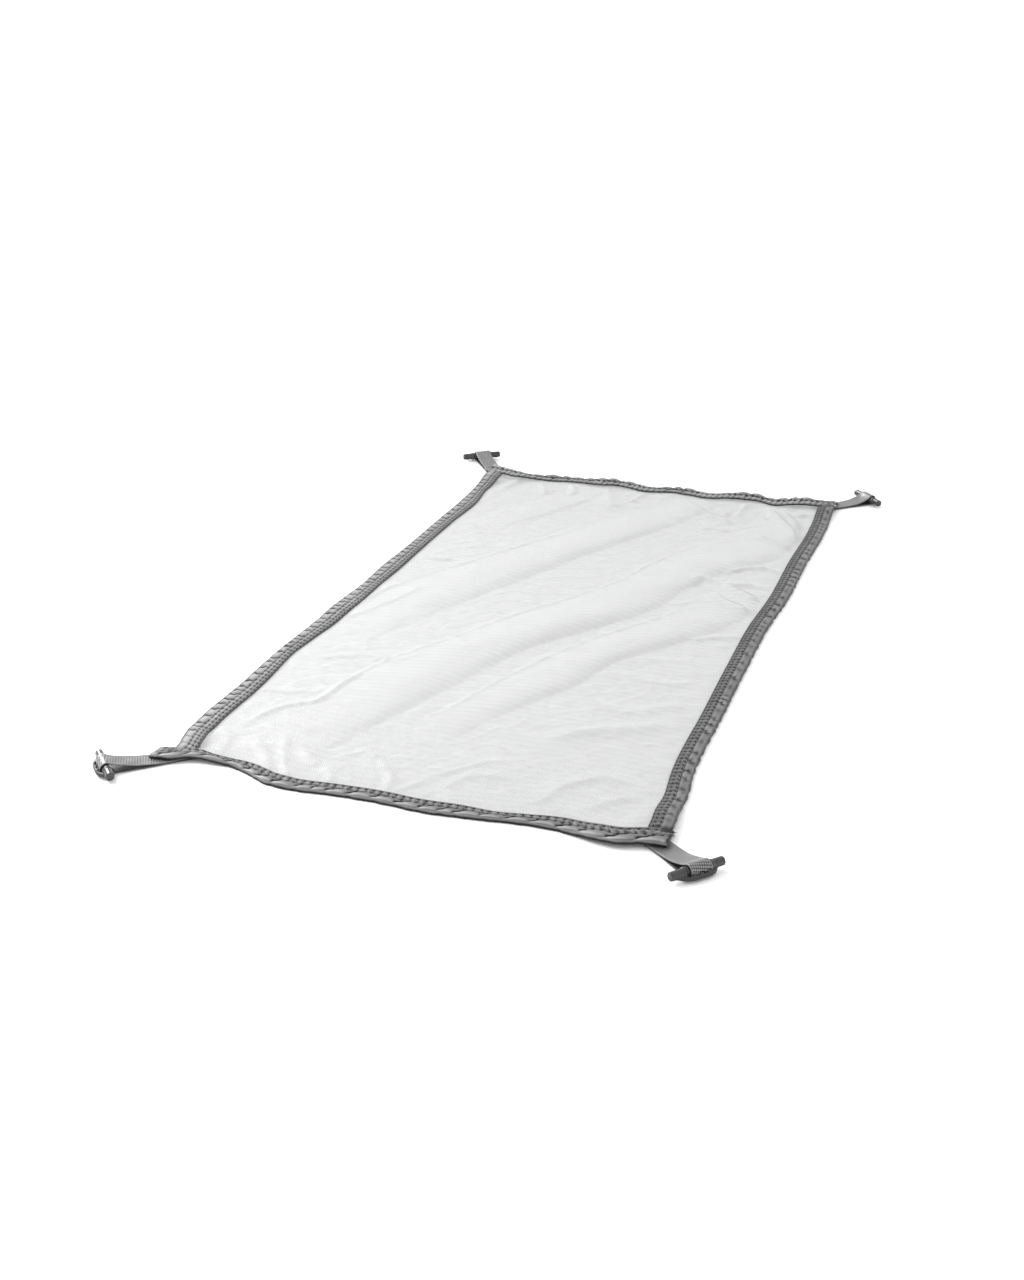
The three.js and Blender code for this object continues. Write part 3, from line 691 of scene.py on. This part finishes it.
def paint_band_light_and_shade(side, along, top):
    """Painted light and shade of both faces of a band, in its section's order: puffs are painted pale, and
    hollows, the wall, the underside and the tucked ends are painted dark as in shade.
    """
    band = BANDS[side]
    outer_tone, inner_tone = band["painted_tones"]
    if side in TUCKED:
        shade = TUCK_SHADE * (1 - smoothstep(to_end(side, along), 6, 14))
        outer_tone = outer_tone - shade
        inner_tone = inner_tone - shade
    painted_tones = outer_tone + (inner_tone - outer_tone) * smoothstep(TOP_SHARES, 0.5, 0.8)
    painted_tones = painted_tones + band["fold_light_shade"] * (1 - smoothstep(TOP_SHARES, 0.04, 0.3))
    contrast = band["contrast"] * (1 - 0.4 * smoothstep(TOP_SHARES, 0.55, 0.75))
    # Painted shade in the hollows and painted light on the puffs: how far the top lies below or above its
    # softened self
    cavity = (top - soften(top, CAVITY_STEPS)) / CAVITY_DEPTH
    lit_and_shaded = np.clip(contrast * cavity, -1.6, 1) + painted_tones
    fold = outer_tone + band["fold_light_shade"] * FOLD_LIGHT_AND_SHADE - 0.5
    under = np.full(UNDER_SHARES.size, UNDER_PAINTED_SHADE)
    rows = [np.broadcast_to(part, (len(along), part.shape[-1])) for part in (WALL_PAINTED_SHADE, lit_and_shaded, fold, under)]
    face = np.concatenate(rows, 1)
    return np.concatenate((face, np.zeros_like(face)), 1)


def make_band(side):
    band = BANDS[side]
    count = round((band["end"] - band["start"]) / STITCH_LENGTH * STATIONS_PER_STITCH) + 1
    along = np.linspace(band["start"], band["end"], count)[:, None]
    inward, height, turn, top = band_section(side, along)
    painted_tones = paint_band_light_and_shade(side, along, top)
    inward = np.concatenate((inward, inward + TAPE * np.cos(turn)), 1)
    height = np.concatenate((height, height - TAPE * np.sin(turn)), 1) + band_lift(side, along)
    along = np.broadcast_to(along, inward.shape)
    x, y = band_place(side, along, inward)
    faces = strip_faces(count, inward.shape[1])
    if side in ("near", "right"):
        faces = faces[:, ::-1]
    points = np.stack((x, y, height), -1)
    return make_object(f"tape_{side}", points, faces, np.stack((along, inward), -1), painted_tones)


# Thread


def tube(path):
    """Points and quads of a round thread along a path, tapered into its ends."""
    path = np.asarray(path, float)
    tangent = np.gradient(path, axis=0)
    tangent /= np.linalg.norm(tangent, axis=1)[:, None]
    side = np.cross(tangent, (0, 0, 1))
    side /= np.linalg.norm(side, axis=1)[:, None] + 1e-9
    up = np.cross(side, tangent)
    angle = np.arange(RING) * 2 * np.pi / RING
    size = np.full(len(path), THREAD_RADIUS)
    size[[0, -1]] *= THREAD_TAPER
    ring = np.cos(angle)[None, :, None] * side[:, None, :] + np.sin(angle)[None, :, None] * up[:, None, :]
    points = path[:, None, :] + size[:, None, None] * ring
    last = (len(path) - 1) * RING
    caps = [[0, 3, 2, 1], [0, 5, 4, 3]]
    caps += [[last + i for i in quad] for quad in ((0, 1, 2, 3), (0, 3, 4, 5))]
    return points.reshape(-1, 3), np.concatenate((grid_faces(len(path), RING, wrap=True), caps))


def join_shapes(shapes):
    """Points and quads of many shapes as one."""
    points, faces, count = [], [], 0
    for part_points, part_faces in shapes:
        points.append(part_points)
        faces.append(part_faces + count)
        count += len(part_points)
    return np.concatenate(points), np.concatenate(faces)


def stitch_path(side, start, end, first_inward, last_inward, under=False):
    """One stitch along a band's upper or lower face, its ends drawn into the cloth."""
    share = np.linspace(0, 1, UNDER_RINGS if under else STITCH_RINGS)
    along = start + (end - start) * share
    inward = first_inward + (last_inward - first_inward) * share
    x, y = band_place(side, along, inward)
    arch = np.sin(np.pi * share) ** 0.5
    if under:
        z = band_lift(side, along) + 0.05 - 0.1 * arch
    else:
        z = band_lift(side, along) + band_top(side, along, inward) - STITCH_SUNK + STITCH_ARCH * arch
    return np.stack((x, y, z), -1)


def band_stitches(side):
    band = BANDS[side]
    chance = random.Random(f"{SEED} thread {side}")
    paths = []
    count = int((band["end"] - band["start"]) / STITCH_LENGTH)
    for share in band["rows"]:
        drift = 0.0
        for i in range(count):
            start = band["start"] + i * STITCH_LENGTH + STITCH_GAP
            end = start + STITCH_LENGTH - 2 * STITCH_GAP
            last = drift
            drift = DRIFT_KEPT * drift + chance.uniform(-DRIFT, DRIFT)
            inward = share * curve(band["width"], start)
            for under in (False, True):
                paths.append(stitch_path(side, start, end, inward + last, inward + drift, under))
    return paths


def tack_paths(side):
    """Bar tacks near a band's ends: close zigzag strokes over the webbing."""
    chance = random.Random(f"{SEED} tack {side}")
    paths = []
    for along, inward, length, stroke, slant in TACKS[side]:
        for i in range(int(length / TACK_STROKE)):
            start = along + i * TACK_STROKE + chance.uniform(-TACK_DRIFT, TACK_DRIFT)
            turn = slant if i % 2 else -slant
            first = inward - stroke / 2 + chance.uniform(-TACK_UNEVEN, TACK_UNEVEN)
            last = inward + stroke / 2 + chance.uniform(-TACK_UNEVEN, TACK_UNEVEN)
            path = stitch_path(side, start, start + turn, first, last)
            path[:, 2] += TACK_LIFT
            paths.append(path)
    return paths


def fray_paths(side):
    """Short loose threads at a band's cut ends."""
    band = BANDS[side]
    chance = random.Random(f"{SEED} fray {side}")
    paths = []
    for end, outward in ((band["start"], -1), (band["end"], 1)):
        for _ in range(FRAY_COUNT):
            inward = curve(band["width"], end) * chance.uniform(0.06, 0.94)
            length = chance.uniform(0.6, 2.2)
            share = np.linspace(0, 1, 4)
            along = end + outward * (length * share - 0.4)
            x, y = band_place(side, along, inward + chance.uniform(-0.9, 0.9) * share ** 2)
            level = band_top(side, end, inward) * chance.uniform(0.3, 0.92)
            z = band_lift(side, end) + level + chance.uniform(-0.7, 0.4) * share ** 2
            paths.append(np.stack((x, y, z), -1))
    return paths


def loose_thread():
    """The long thread end beside the near left corner."""
    share = np.linspace(0, 1, 12)
    x = -167.5 + 7.5 * share + 0.5 * np.sin(5 * share)
    y = -316 - 6.5 * share + 0.6 * np.sin(7 * share)
    return np.stack((x, y, 4.6 + 0.7 * np.sin(np.pi * share)), -1)


def make_seams(side):
    """All the thread of a band as one mesh."""
    threads = band_stitches(side)
    if side not in TUCKED:
        threads = threads + tack_paths(side) + fray_paths(side)
    if side == "near":
        threads.append(loose_thread())
    return make_object(f"seams_{side}", *join_shapes(map(tube, threads)), sharp=80)


# Webbing


def place_at_corner(name, out_distance, aside_distance, z):
    """Points at distances outward and aside from the middle of a corner's bar."""
    x, y = CORNERS[name]["bar"]
    turn = math.radians(CORNERS[name]["outward"])
    x = x + out_distance * math.cos(turn) - aside_distance * math.sin(turn)
    y = y + out_distance * math.sin(turn) + aside_distance * math.cos(turn)
    return np.stack((x, y, z), -1)


def webbing_line(meet, end, fullness, hug):
    """Side view of a loop's middle surface, from its lower end round the bar to its upper end."""
    lower = [(-end, WEBBING_LAYER / 2), (0, WEBBING_LAYER / 2)]
    leave = math.radians(90 + hug)
    angle = np.linspace(-np.pi / 2, leave, 34)[1:]
    round_bar = np.stack((LOOP_RADIUS * np.cos(angle), AXIS_HEIGHT + LOOP_RADIUS * np.sin(angle)), -1)
    stack = 1.5 * WEBBING_LAYER
    a = round_bar[-1]
    b = a + 0.1 * meet * np.array([-math.sin(leave), math.cos(leave)])
    c = np.array([-0.42 * meet, stack + fullness])
    d = np.array([-meet, stack])
    t = np.linspace(0, 1, 50)[1:, None]
    fall = a * (1 - t) ** 3 + 3 * b * t * (1 - t) ** 2 + 3 * c * t * t * (1 - t) + d * t ** 3
    line = np.concatenate((lower, round_bar, fall, [(-end, stack)]))
    length = np.concatenate(([0], np.cumsum(np.hypot(*np.diff(line, axis=0).T))))
    at = np.linspace(0, length[-1], int(length[-1] / WEBBING_STEP))
    return np.stack((np.interp(at, length, line[:, 0]), np.interp(at, length, line[:, 1])), -1), at


def webbing_offset(line, length, wide, phase):
    """How far a loop's surface bows, and bulges between the toggle's teeth."""
    bow = 0.18 * ripple(length[:, None] + 1.5 * wide, [(19, phase), (29, 1)])
    near_teeth = np.exp(-((line[:, 0] - 3) ** 2 + (line[:, 1] - 3) ** 2) / 6)
    lobes = np.cos(2 * np.pi * (wide + TOOTH_PITCH / 2) / TOOTH_PITCH)
    return bow * smoothstep(line[:, 1], 1.7, 4)[:, None] + LOBE_HEIGHT * near_teeth[:, None] * lobes


def make_webbing(name):
    corner = CORNERS[name]
    phase = corner["outward"]
    line, length = webbing_line(corner["meet"], corner["end"], corner["fullness"], corner["hug"])
    tangent = np.gradient(line, axis=0)
    tangent /= np.linalg.norm(tangent, axis=1)[:, None]
    wide = WEBBING_ACROSS * WEBBING_WIDTH / 2
    wander = 0.35 * ripple(length, [(37, phase), (61, 2 * phase)])
    aside = wide + corner["slid"] + wander[:, None]
    layers = []
    for half in (WEBBING_HALF, -WEBBING_HALF):
        lift = half + webbing_offset(line, length, wide, phase)
        out_distance = line[:, :1] + tangent[:, 1:] * lift
        layers.append(place_at_corner(name, out_distance, aside, line[:, 1:] - tangent[:, :1] * lift))
    points = np.concatenate(layers, 1)
    uvs = np.stack(np.broadcast_arrays(length[:, None], np.concatenate((wide, wide))), -1)
    # Marks the face inside the loop, which gets painted shade
    inner_face_shade = np.zeros(points.shape[:2])
    inner_face_shade[:, wide.size:] = 1
    faces = strip_faces(len(length), points.shape[1])
    return make_object(f"loop_{name}", points, faces, uvs, inner_face_shade)


# Toggle


def toggle_bar():
    """The round bar."""
    outline = np.array([(-a, r) for a, r in reversed(BAR_HALF[1:])] + BAR_HALF)
    angle = np.arange(BAR_SIDES) * 2 * np.pi / BAR_SIDES
    radius = outline[:, 1:]
    x = radius * np.cos(angle)
    y = np.broadcast_to(outline[:, :1], x.shape)
    points = np.stack((x, y, radius * np.sin(angle) + AXIS_HEIGHT), -1)
    return points.reshape(-1, 3), grid_faces(len(outline), BAR_SIDES, wrap=True)


def toggle_rim():
    """The rim outside the bar: a rounded bar bent round the webbing's slot."""
    path = RIM_HALF + [(-y, out) for y, out in reversed(RIM_HALF[:-1])]
    y = np.linspace(path[0][0], path[-1][0], RIM_POINTS)
    out = curve(path, y)
    slot = np.where(np.abs(y) < SLOT_HALF, SLOT_OUT, np.minimum(SLOT_OUT, np.maximum(out - 2.4, -1)))
    inner = np.minimum(slot, out - 0.9)
    section = [
        (inner, RIM_BASE + 0.3), (inner + 0.3, RIM_BASE), (out - 0.4, RIM_BASE), (out, RIM_BASE + 0.4),
        (out + 0.05, (RIM_BASE + RIM_TOP) / 2), (out - 0.05, RIM_TOP - 0.5), (out - 0.5, RIM_TOP),
        (inner + 0.2, RIM_TOP), (inner, RIM_TOP - 0.2),
    ]
    x = np.stack([place for place, _ in section], -1)
    z = np.broadcast_to([level for _, level in section], x.shape)
    points = np.stack((x, np.broadcast_to(y[:, None], x.shape), z), -1)
    return points.reshape(-1, 3), grid_faces(len(y), len(section), wrap=True)


def toggle_tooth(y):
    """A tooth of the rim that points at the bar, a little smaller at its top."""
    (foot, foot_half), (tip, tip_half) = TOOTH_FOOT, TOOTH_TIP
    low, high = TOOTH_LEVELS
    corners = [(foot, y - foot_half), (foot, y + foot_half), (tip, y + tip_half), (tip, y - tip_half)]
    points = [(a, b, low) for a, b in corners]
    points += [(a * 0.97 + 0.1, b * 0.8 + 0.2 * y, high) for a, b in corners]
    faces = [(3, 2, 1, 0), (4, 5, 6, 7), (0, 1, 5, 4), (1, 2, 6, 5), (2, 3, 7, 6), (3, 0, 4, 7)]
    return np.array(points), np.array(faces)


def make_toggle(name):
    """One moulding: its parts are run together by a voxel remesh, which also rounds where they meet."""
    teeth = [toggle_tooth(y) for y in (-TOOTH_PITCH, 0, TOOTH_PITCH)]
    points, faces = join_shapes([toggle_bar(), toggle_rim()] + teeth)
    toggle = make_object(f"bar_{name}", place_at_corner(name, *points.T), faces)
    close_ends(toggle)
    apply_modifier(toggle, "REMESH", mode="VOXEL", voxel_size=TOGGLE_VOXEL * MM, use_smooth_shade=True)
    apply_modifier(toggle, "SMOOTH", factor=0.5, iterations=3)
    return toggle


def close_ends(piece):
    """Fills the open ends of the parts, so that the remesh sees closed bodies."""
    shape = bmesh.new()
    shape.from_mesh(piece.data)
    edges = [edge for edge in shape.edges if edge.is_boundary]
    bmesh.ops.holes_fill(shape, edges=edges, sides=0)
    bmesh.ops.recalc_face_normals(shape, faces=shape.faces)
    shape.to_mesh(piece.data)
    shape.free()


def apply_modifier(piece, kind, **settings):
    modifier = piece.modifiers.new(kind.title(), kind)
    for key, value in settings.items():
        setattr(modifier, key, value)
    bpy.context.view_layer.objects.active = piece
    bpy.ops.object.modifier_apply(modifier=modifier.name)


# Materials


class Shader:
    """A material, its nodes added one by one."""

    def __init__(self, name):
        self.material = bpy.data.materials.new(name)
        self.material.use_nodes = True
        self.tree = self.material.node_tree
        self.surface = self.tree.nodes["Principled BSDF"]

    def node(self, kind, inputs=(), **settings):
        node = self.tree.nodes.new("ShaderNode" + kind)
        for key, value in settings.items():
            setattr(node, key, value)
        for key, value in dict(inputs).items():
            self.feed(node, key, value)
        return node

    def feed(self, node, key, value):
        if isinstance(value, bpy.types.NodeSocket):
            self.tree.links.new(value, node.inputs[key])
        else:
            node.inputs[key].default_value = value

    def set(self, **values):
        for key, value in values.items():
            self.feed(self.surface, key.replace("_", " "), value)

    def math(self, operation, a, b=0):
        return self.node("Math", {0: a, 1: b}, operation=operation).outputs[0]

    def range(self, value, low, high, to_low=0, to_high=1):
        inputs = {"Value": value, "From Min": low, "From Max": high, "To Min": to_low, "To Max": to_high}
        return self.node("MapRange", inputs).outputs["Result"]

    def mix(self, factor, a, b):
        return self.node("Mix", {0: factor, 6: a, 7: b}, data_type="RGBA").outputs[2]

    def blend(self, a, a_share, b, b_share):
        return self.math("ADD", self.math("MULTIPLY", a, a_share), self.math("MULTIPLY", b, b_share))

    def place(self):
        return self.node("TexCoord").outputs["Object"]

    def cloth(self):
        return self.node("UVMap", uv_map="Cloth").outputs["UV"]

    # Each point's value of painted light and shade
    def painted_light_and_shade(self):
        return self.node("Attribute", attribute_name="painted_light_and_shade").outputs["Fac"]

    def noise(self, vector, scale, detail):
        inputs = {"Vector": vector, "Scale": scale, "Detail": detail}
        return self.node("TexNoise", inputs).outputs["Fac"]

    def bump(self, height, distance, strength):
        inputs = {"Height": height, "Distance": distance, "Strength": strength}
        self.set(Normal=self.node("Bump", inputs).outputs["Normal"])

    def lines(self, vector, degrees, pitch):
        """A triangle wave across parallel lines: 1 on each line and 0 midway between two."""
        turn = math.radians(degrees)
        direction = (math.cos(turn) / pitch, math.sin(turn) / pitch, 0)
        dot = self.node("VectorMath", {0: vector, 1: direction}, operation="DOT_PRODUCT").outputs["Value"]
        centred = self.math("SUBTRACT", self.math("FRACT", dot), 0.5)
        return self.math("MULTIPLY", self.math("ABSOLUTE", centred), 2)


def net_material():
    """Sheer knitted netting: threads with see-through gaps, with painted shade on crease flanks that face
    away from the light.
    """
    shader = Shader("net")
    cloth = shader.cloth()
    uneven = shader.noise(shader.place(), 90, 4)
    edge = shader.range(uneven, 0.3, 0.7, 0.7, 0.6)
    threads = 0
    for degrees, pitch in NET_LINES:
        thread = shader.range(shader.lines(cloth, degrees, pitch), edge, shader.math("ADD", edge, 0.14))
        threads = shader.math("MAXIMUM", threads, thread)
    tint = shader.mix(shader.range(uneven, 0.3, 0.7), *NET_GREYS)
    # Painted shade on crease flanks that face away from the light
    tint = shader.mix(shader.range(shader.painted_light_and_shade(), 0.05, 1.15), tint, NET_PAINTED_SHADE)
    shader.set(Base_Color=tint, Alpha=shader.range(threads, 0, 1, 0.1, 0.92))
    shader.set(Sheen_Weight=0.2, Sheen_Roughness=0.4, Diffuse_Roughness=1, Specular_IOR_Level=0.3)
    shader.set(Roughness=shader.range(threads, 0, 1, 0.8, 0.5))
    shader.bump(threads, 0.00015, 0.5)
    return shader.material


def tape_material():
    """Woven tape: fine plain weave, soft sheen, with painted light on the puffs and painted shade in the
    creases.
    """
    shader = Shader("binding")
    cloth = shader.cloth()
    place = shader.place()
    patches = shader.noise(place, 60, 4)
    grain = shader.noise(place, 2500, 2)
    # Painted light and shade from each point's value, blended with random patches of real tone
    lit_and_shaded = shader.range(shader.painted_light_and_shade(), -1.6, 2)
    shade = shader.blend(lit_and_shaded, 0.75, patches, 0.25)
    shade = shader.math("ADD", shade, shader.range(grain, 0.3, 0.7, -0.06, 0.06))
    colour = shader.mix(shader.range(shade, 0.2, 0.9), *TAPE_GREYS)
    warp, weft = [shader.lines(cloth, *line) for line in TAPE_LINES]
    weave = shader.math("MULTIPLY", warp, weft)
    shader.set(Base_Color=colour, Sheen_Weight=0.1, Sheen_Roughness=0.35, Specular_IOR_Level=0.14)
    shader.set(Roughness=shader.range(patches, 0.3, 0.7, 0.4, 0.52))
    shader.bump(shader.blend(weave, 0.5, grain, 0.5), 0.00008, 0.6)
    return shader.material


def thread_material():
    """Twisted sewing thread, paler than the tape."""
    shader = Shader("thread")
    twist = shader.noise(shader.place(), 3000, 2)
    colour = shader.mix(shader.range(twist, 0.35, 0.65), *THREAD_GREYS)
    shader.set(Base_Color=colour, Roughness=shader.range(twist, 0.3, 0.7, 0.4, 0.6), Specular_IOR_Level=0.2)
    shader.bump(twist, 0.00005, 0.5)
    return shader.material


def webbing_material():
    """Twill webbing: fine diamonds, with a plain selvage at each side, and painted shade on its inner face,
    inside the loop.
    """
    shader = Shader("webbing")
    cloth = shader.cloth()
    patches = shader.noise(shader.place(), 120, 3)
    one, other = [shader.lines(cloth, *line) for line in WEBBING_LINES]
    dots = shader.range(shader.math("MULTIPLY", one, other), 0.1, 0.42)
    across = shader.node("SeparateXYZ", {0: cloth}).outputs["Y"]
    selvage = shader.range(shader.math("ABSOLUTE", across), *SELVAGE)
    ribs = shader.lines(cloth, 0, RIB_PITCH)
    weave = shader.node("Mix", {0: selvage, 2: dots, 3: ribs}).outputs[0]
    shade = shader.blend(weave, 0.75, patches, 0.25)
    # Painted shade on the inner face, inside the loop
    shade = shader.math("MULTIPLY", shade, shader.range(shader.painted_light_and_shade(), 0, 1, 1, 0.4))
    colour = shader.mix(shader.range(shade, 0.1, 0.78), *WEBBING_GREYS)
    shader.set(Base_Color=colour, Sheen_Weight=0.1, Sheen_Roughness=0.3, Specular_IOR_Level=0.6)
    shader.set(Roughness=shader.range(weave, 0, 1, 0.4, 0.24))
    shader.bump(weave, 0.00012, 0.8)
    return shader.material


def toggle_material():
    """Smooth moulded plastic with a faint grain, duller low down."""
    shader = Shader("toggle")
    place = shader.place()
    patches = shader.noise(place, 150, 3)
    shader.set(Base_Color=shader.mix(shader.range(patches, 0.3, 0.7), *TOGGLE_GREYS), Specular_IOR_Level=0.5)
    height = shader.node("SeparateXYZ", {0: place}).outputs["Z"]
    low = shader.range(height, 0.0036, 0.0048, 0.4, 0)
    shader.set(Roughness=shader.math("ADD", shader.range(patches, 0.3, 0.7, 0.22, 0.32), low))
    shader.bump(shader.noise(place, 4000, 2), 0.00002, 0.3)
    return shader.material


def floor_material():
    shader = Shader("floor")
    patches = shader.noise(shader.place(), 2, 2)
    shader.set(Base_Color=shader.mix(patches, *FLOOR_GREYS), Roughness=0.9, Specular_IOR_Level=0.1)
    return shader.material


def dress(piece, material):
    piece.data.materials.append(material)
    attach(piece, "root")


# Stage


def make_camera():
    data = bpy.data.cameras.new("camera")
    data.lens = LENS
    data.sensor_width = SENSOR
    camera = bpy.data.objects.new("camera", data)
    camera.location = CAMERA_PLACE
    camera.rotation_euler = [math.radians(angle) for angle in CAMERA_TURN]
    bpy.context.scene.collection.objects.link(camera)
    bpy.context.scene.camera = camera


def make_floor():
    corners = [(-1, -1), (1, -1), (1, 1), (-1, 1)]
    points = [(FLOOR_HALF * x, FLOOR_HALF * y, FLOOR_LEVEL) for x, y in corners]
    floor = make_object("floor", points, [(0, 1, 2, 3)])
    floor.data.materials.append(floor_material())


def hang(name, light, place, target):
    """Puts a light at a place, turned to its target."""
    lamp = bpy.data.objects.new(name, light)
    lamp.location = place
    lamp.rotation_euler = (Vector(target) - Vector(place)).to_track_quat("-Z", "Y").to_euler()
    bpy.context.scene.collection.objects.link(lamp)
    return lamp


def make_light():
    world = bpy.data.worlds.new("studio")
    world.use_nodes = True
    sky = world.node_tree.nodes["Background"]
    sky.inputs["Color"].default_value = (1, 1, 1, 1)
    sky.inputs["Strength"].default_value = SKY_STRENGTH
    bpy.context.scene.world = world
    sun = bpy.data.lights.new("sun", "SUN")
    sun.angle = math.radians(SUN_SPREAD)
    sun.energy = SUN_STRENGTH
    hang("sun", sun, SUN_PLACE, (0.0, 0.0, 0.0))
    left = bpy.data.lights.new("left", "AREA")
    left.shape = "RECTANGLE"
    left.size, left.size_y = LAMP_SIZE
    left.energy = LAMP_POWER
    hang("left", left, LAMP_PLACE, LAMP_TARGET).visible_camera = False
    bpy.context.scene.view_settings.view_transform = "Standard"


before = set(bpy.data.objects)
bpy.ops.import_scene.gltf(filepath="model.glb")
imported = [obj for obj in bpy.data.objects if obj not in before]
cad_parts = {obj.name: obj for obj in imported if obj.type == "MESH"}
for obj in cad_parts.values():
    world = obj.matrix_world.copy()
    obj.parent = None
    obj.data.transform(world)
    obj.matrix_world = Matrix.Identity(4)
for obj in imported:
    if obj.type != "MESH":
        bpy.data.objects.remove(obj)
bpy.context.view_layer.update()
make_camera()
make_floor()
make_light()

net = make_net()
dress(net, net_material())
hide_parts("mesh_panel")

tape_look = tape_material()
thread_look = thread_material()
for side, band in BANDS.items():
    tape = make_band(side)
    dress(tape, tape_look)
    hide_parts(f"binding_{side}")
    seams = make_seams(side)
    dress(seams, thread_look)

webbing_look = webbing_material()
toggle_look = toggle_material()
for corner in CORNERS:
    webbing = make_webbing(corner)
    dress(webbing, webbing_look)
    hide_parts(f"webbing_{corner}")
    toggle = make_toggle(corner)
    dress(toggle, toggle_look)
    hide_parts(f"toggle_{corner}")
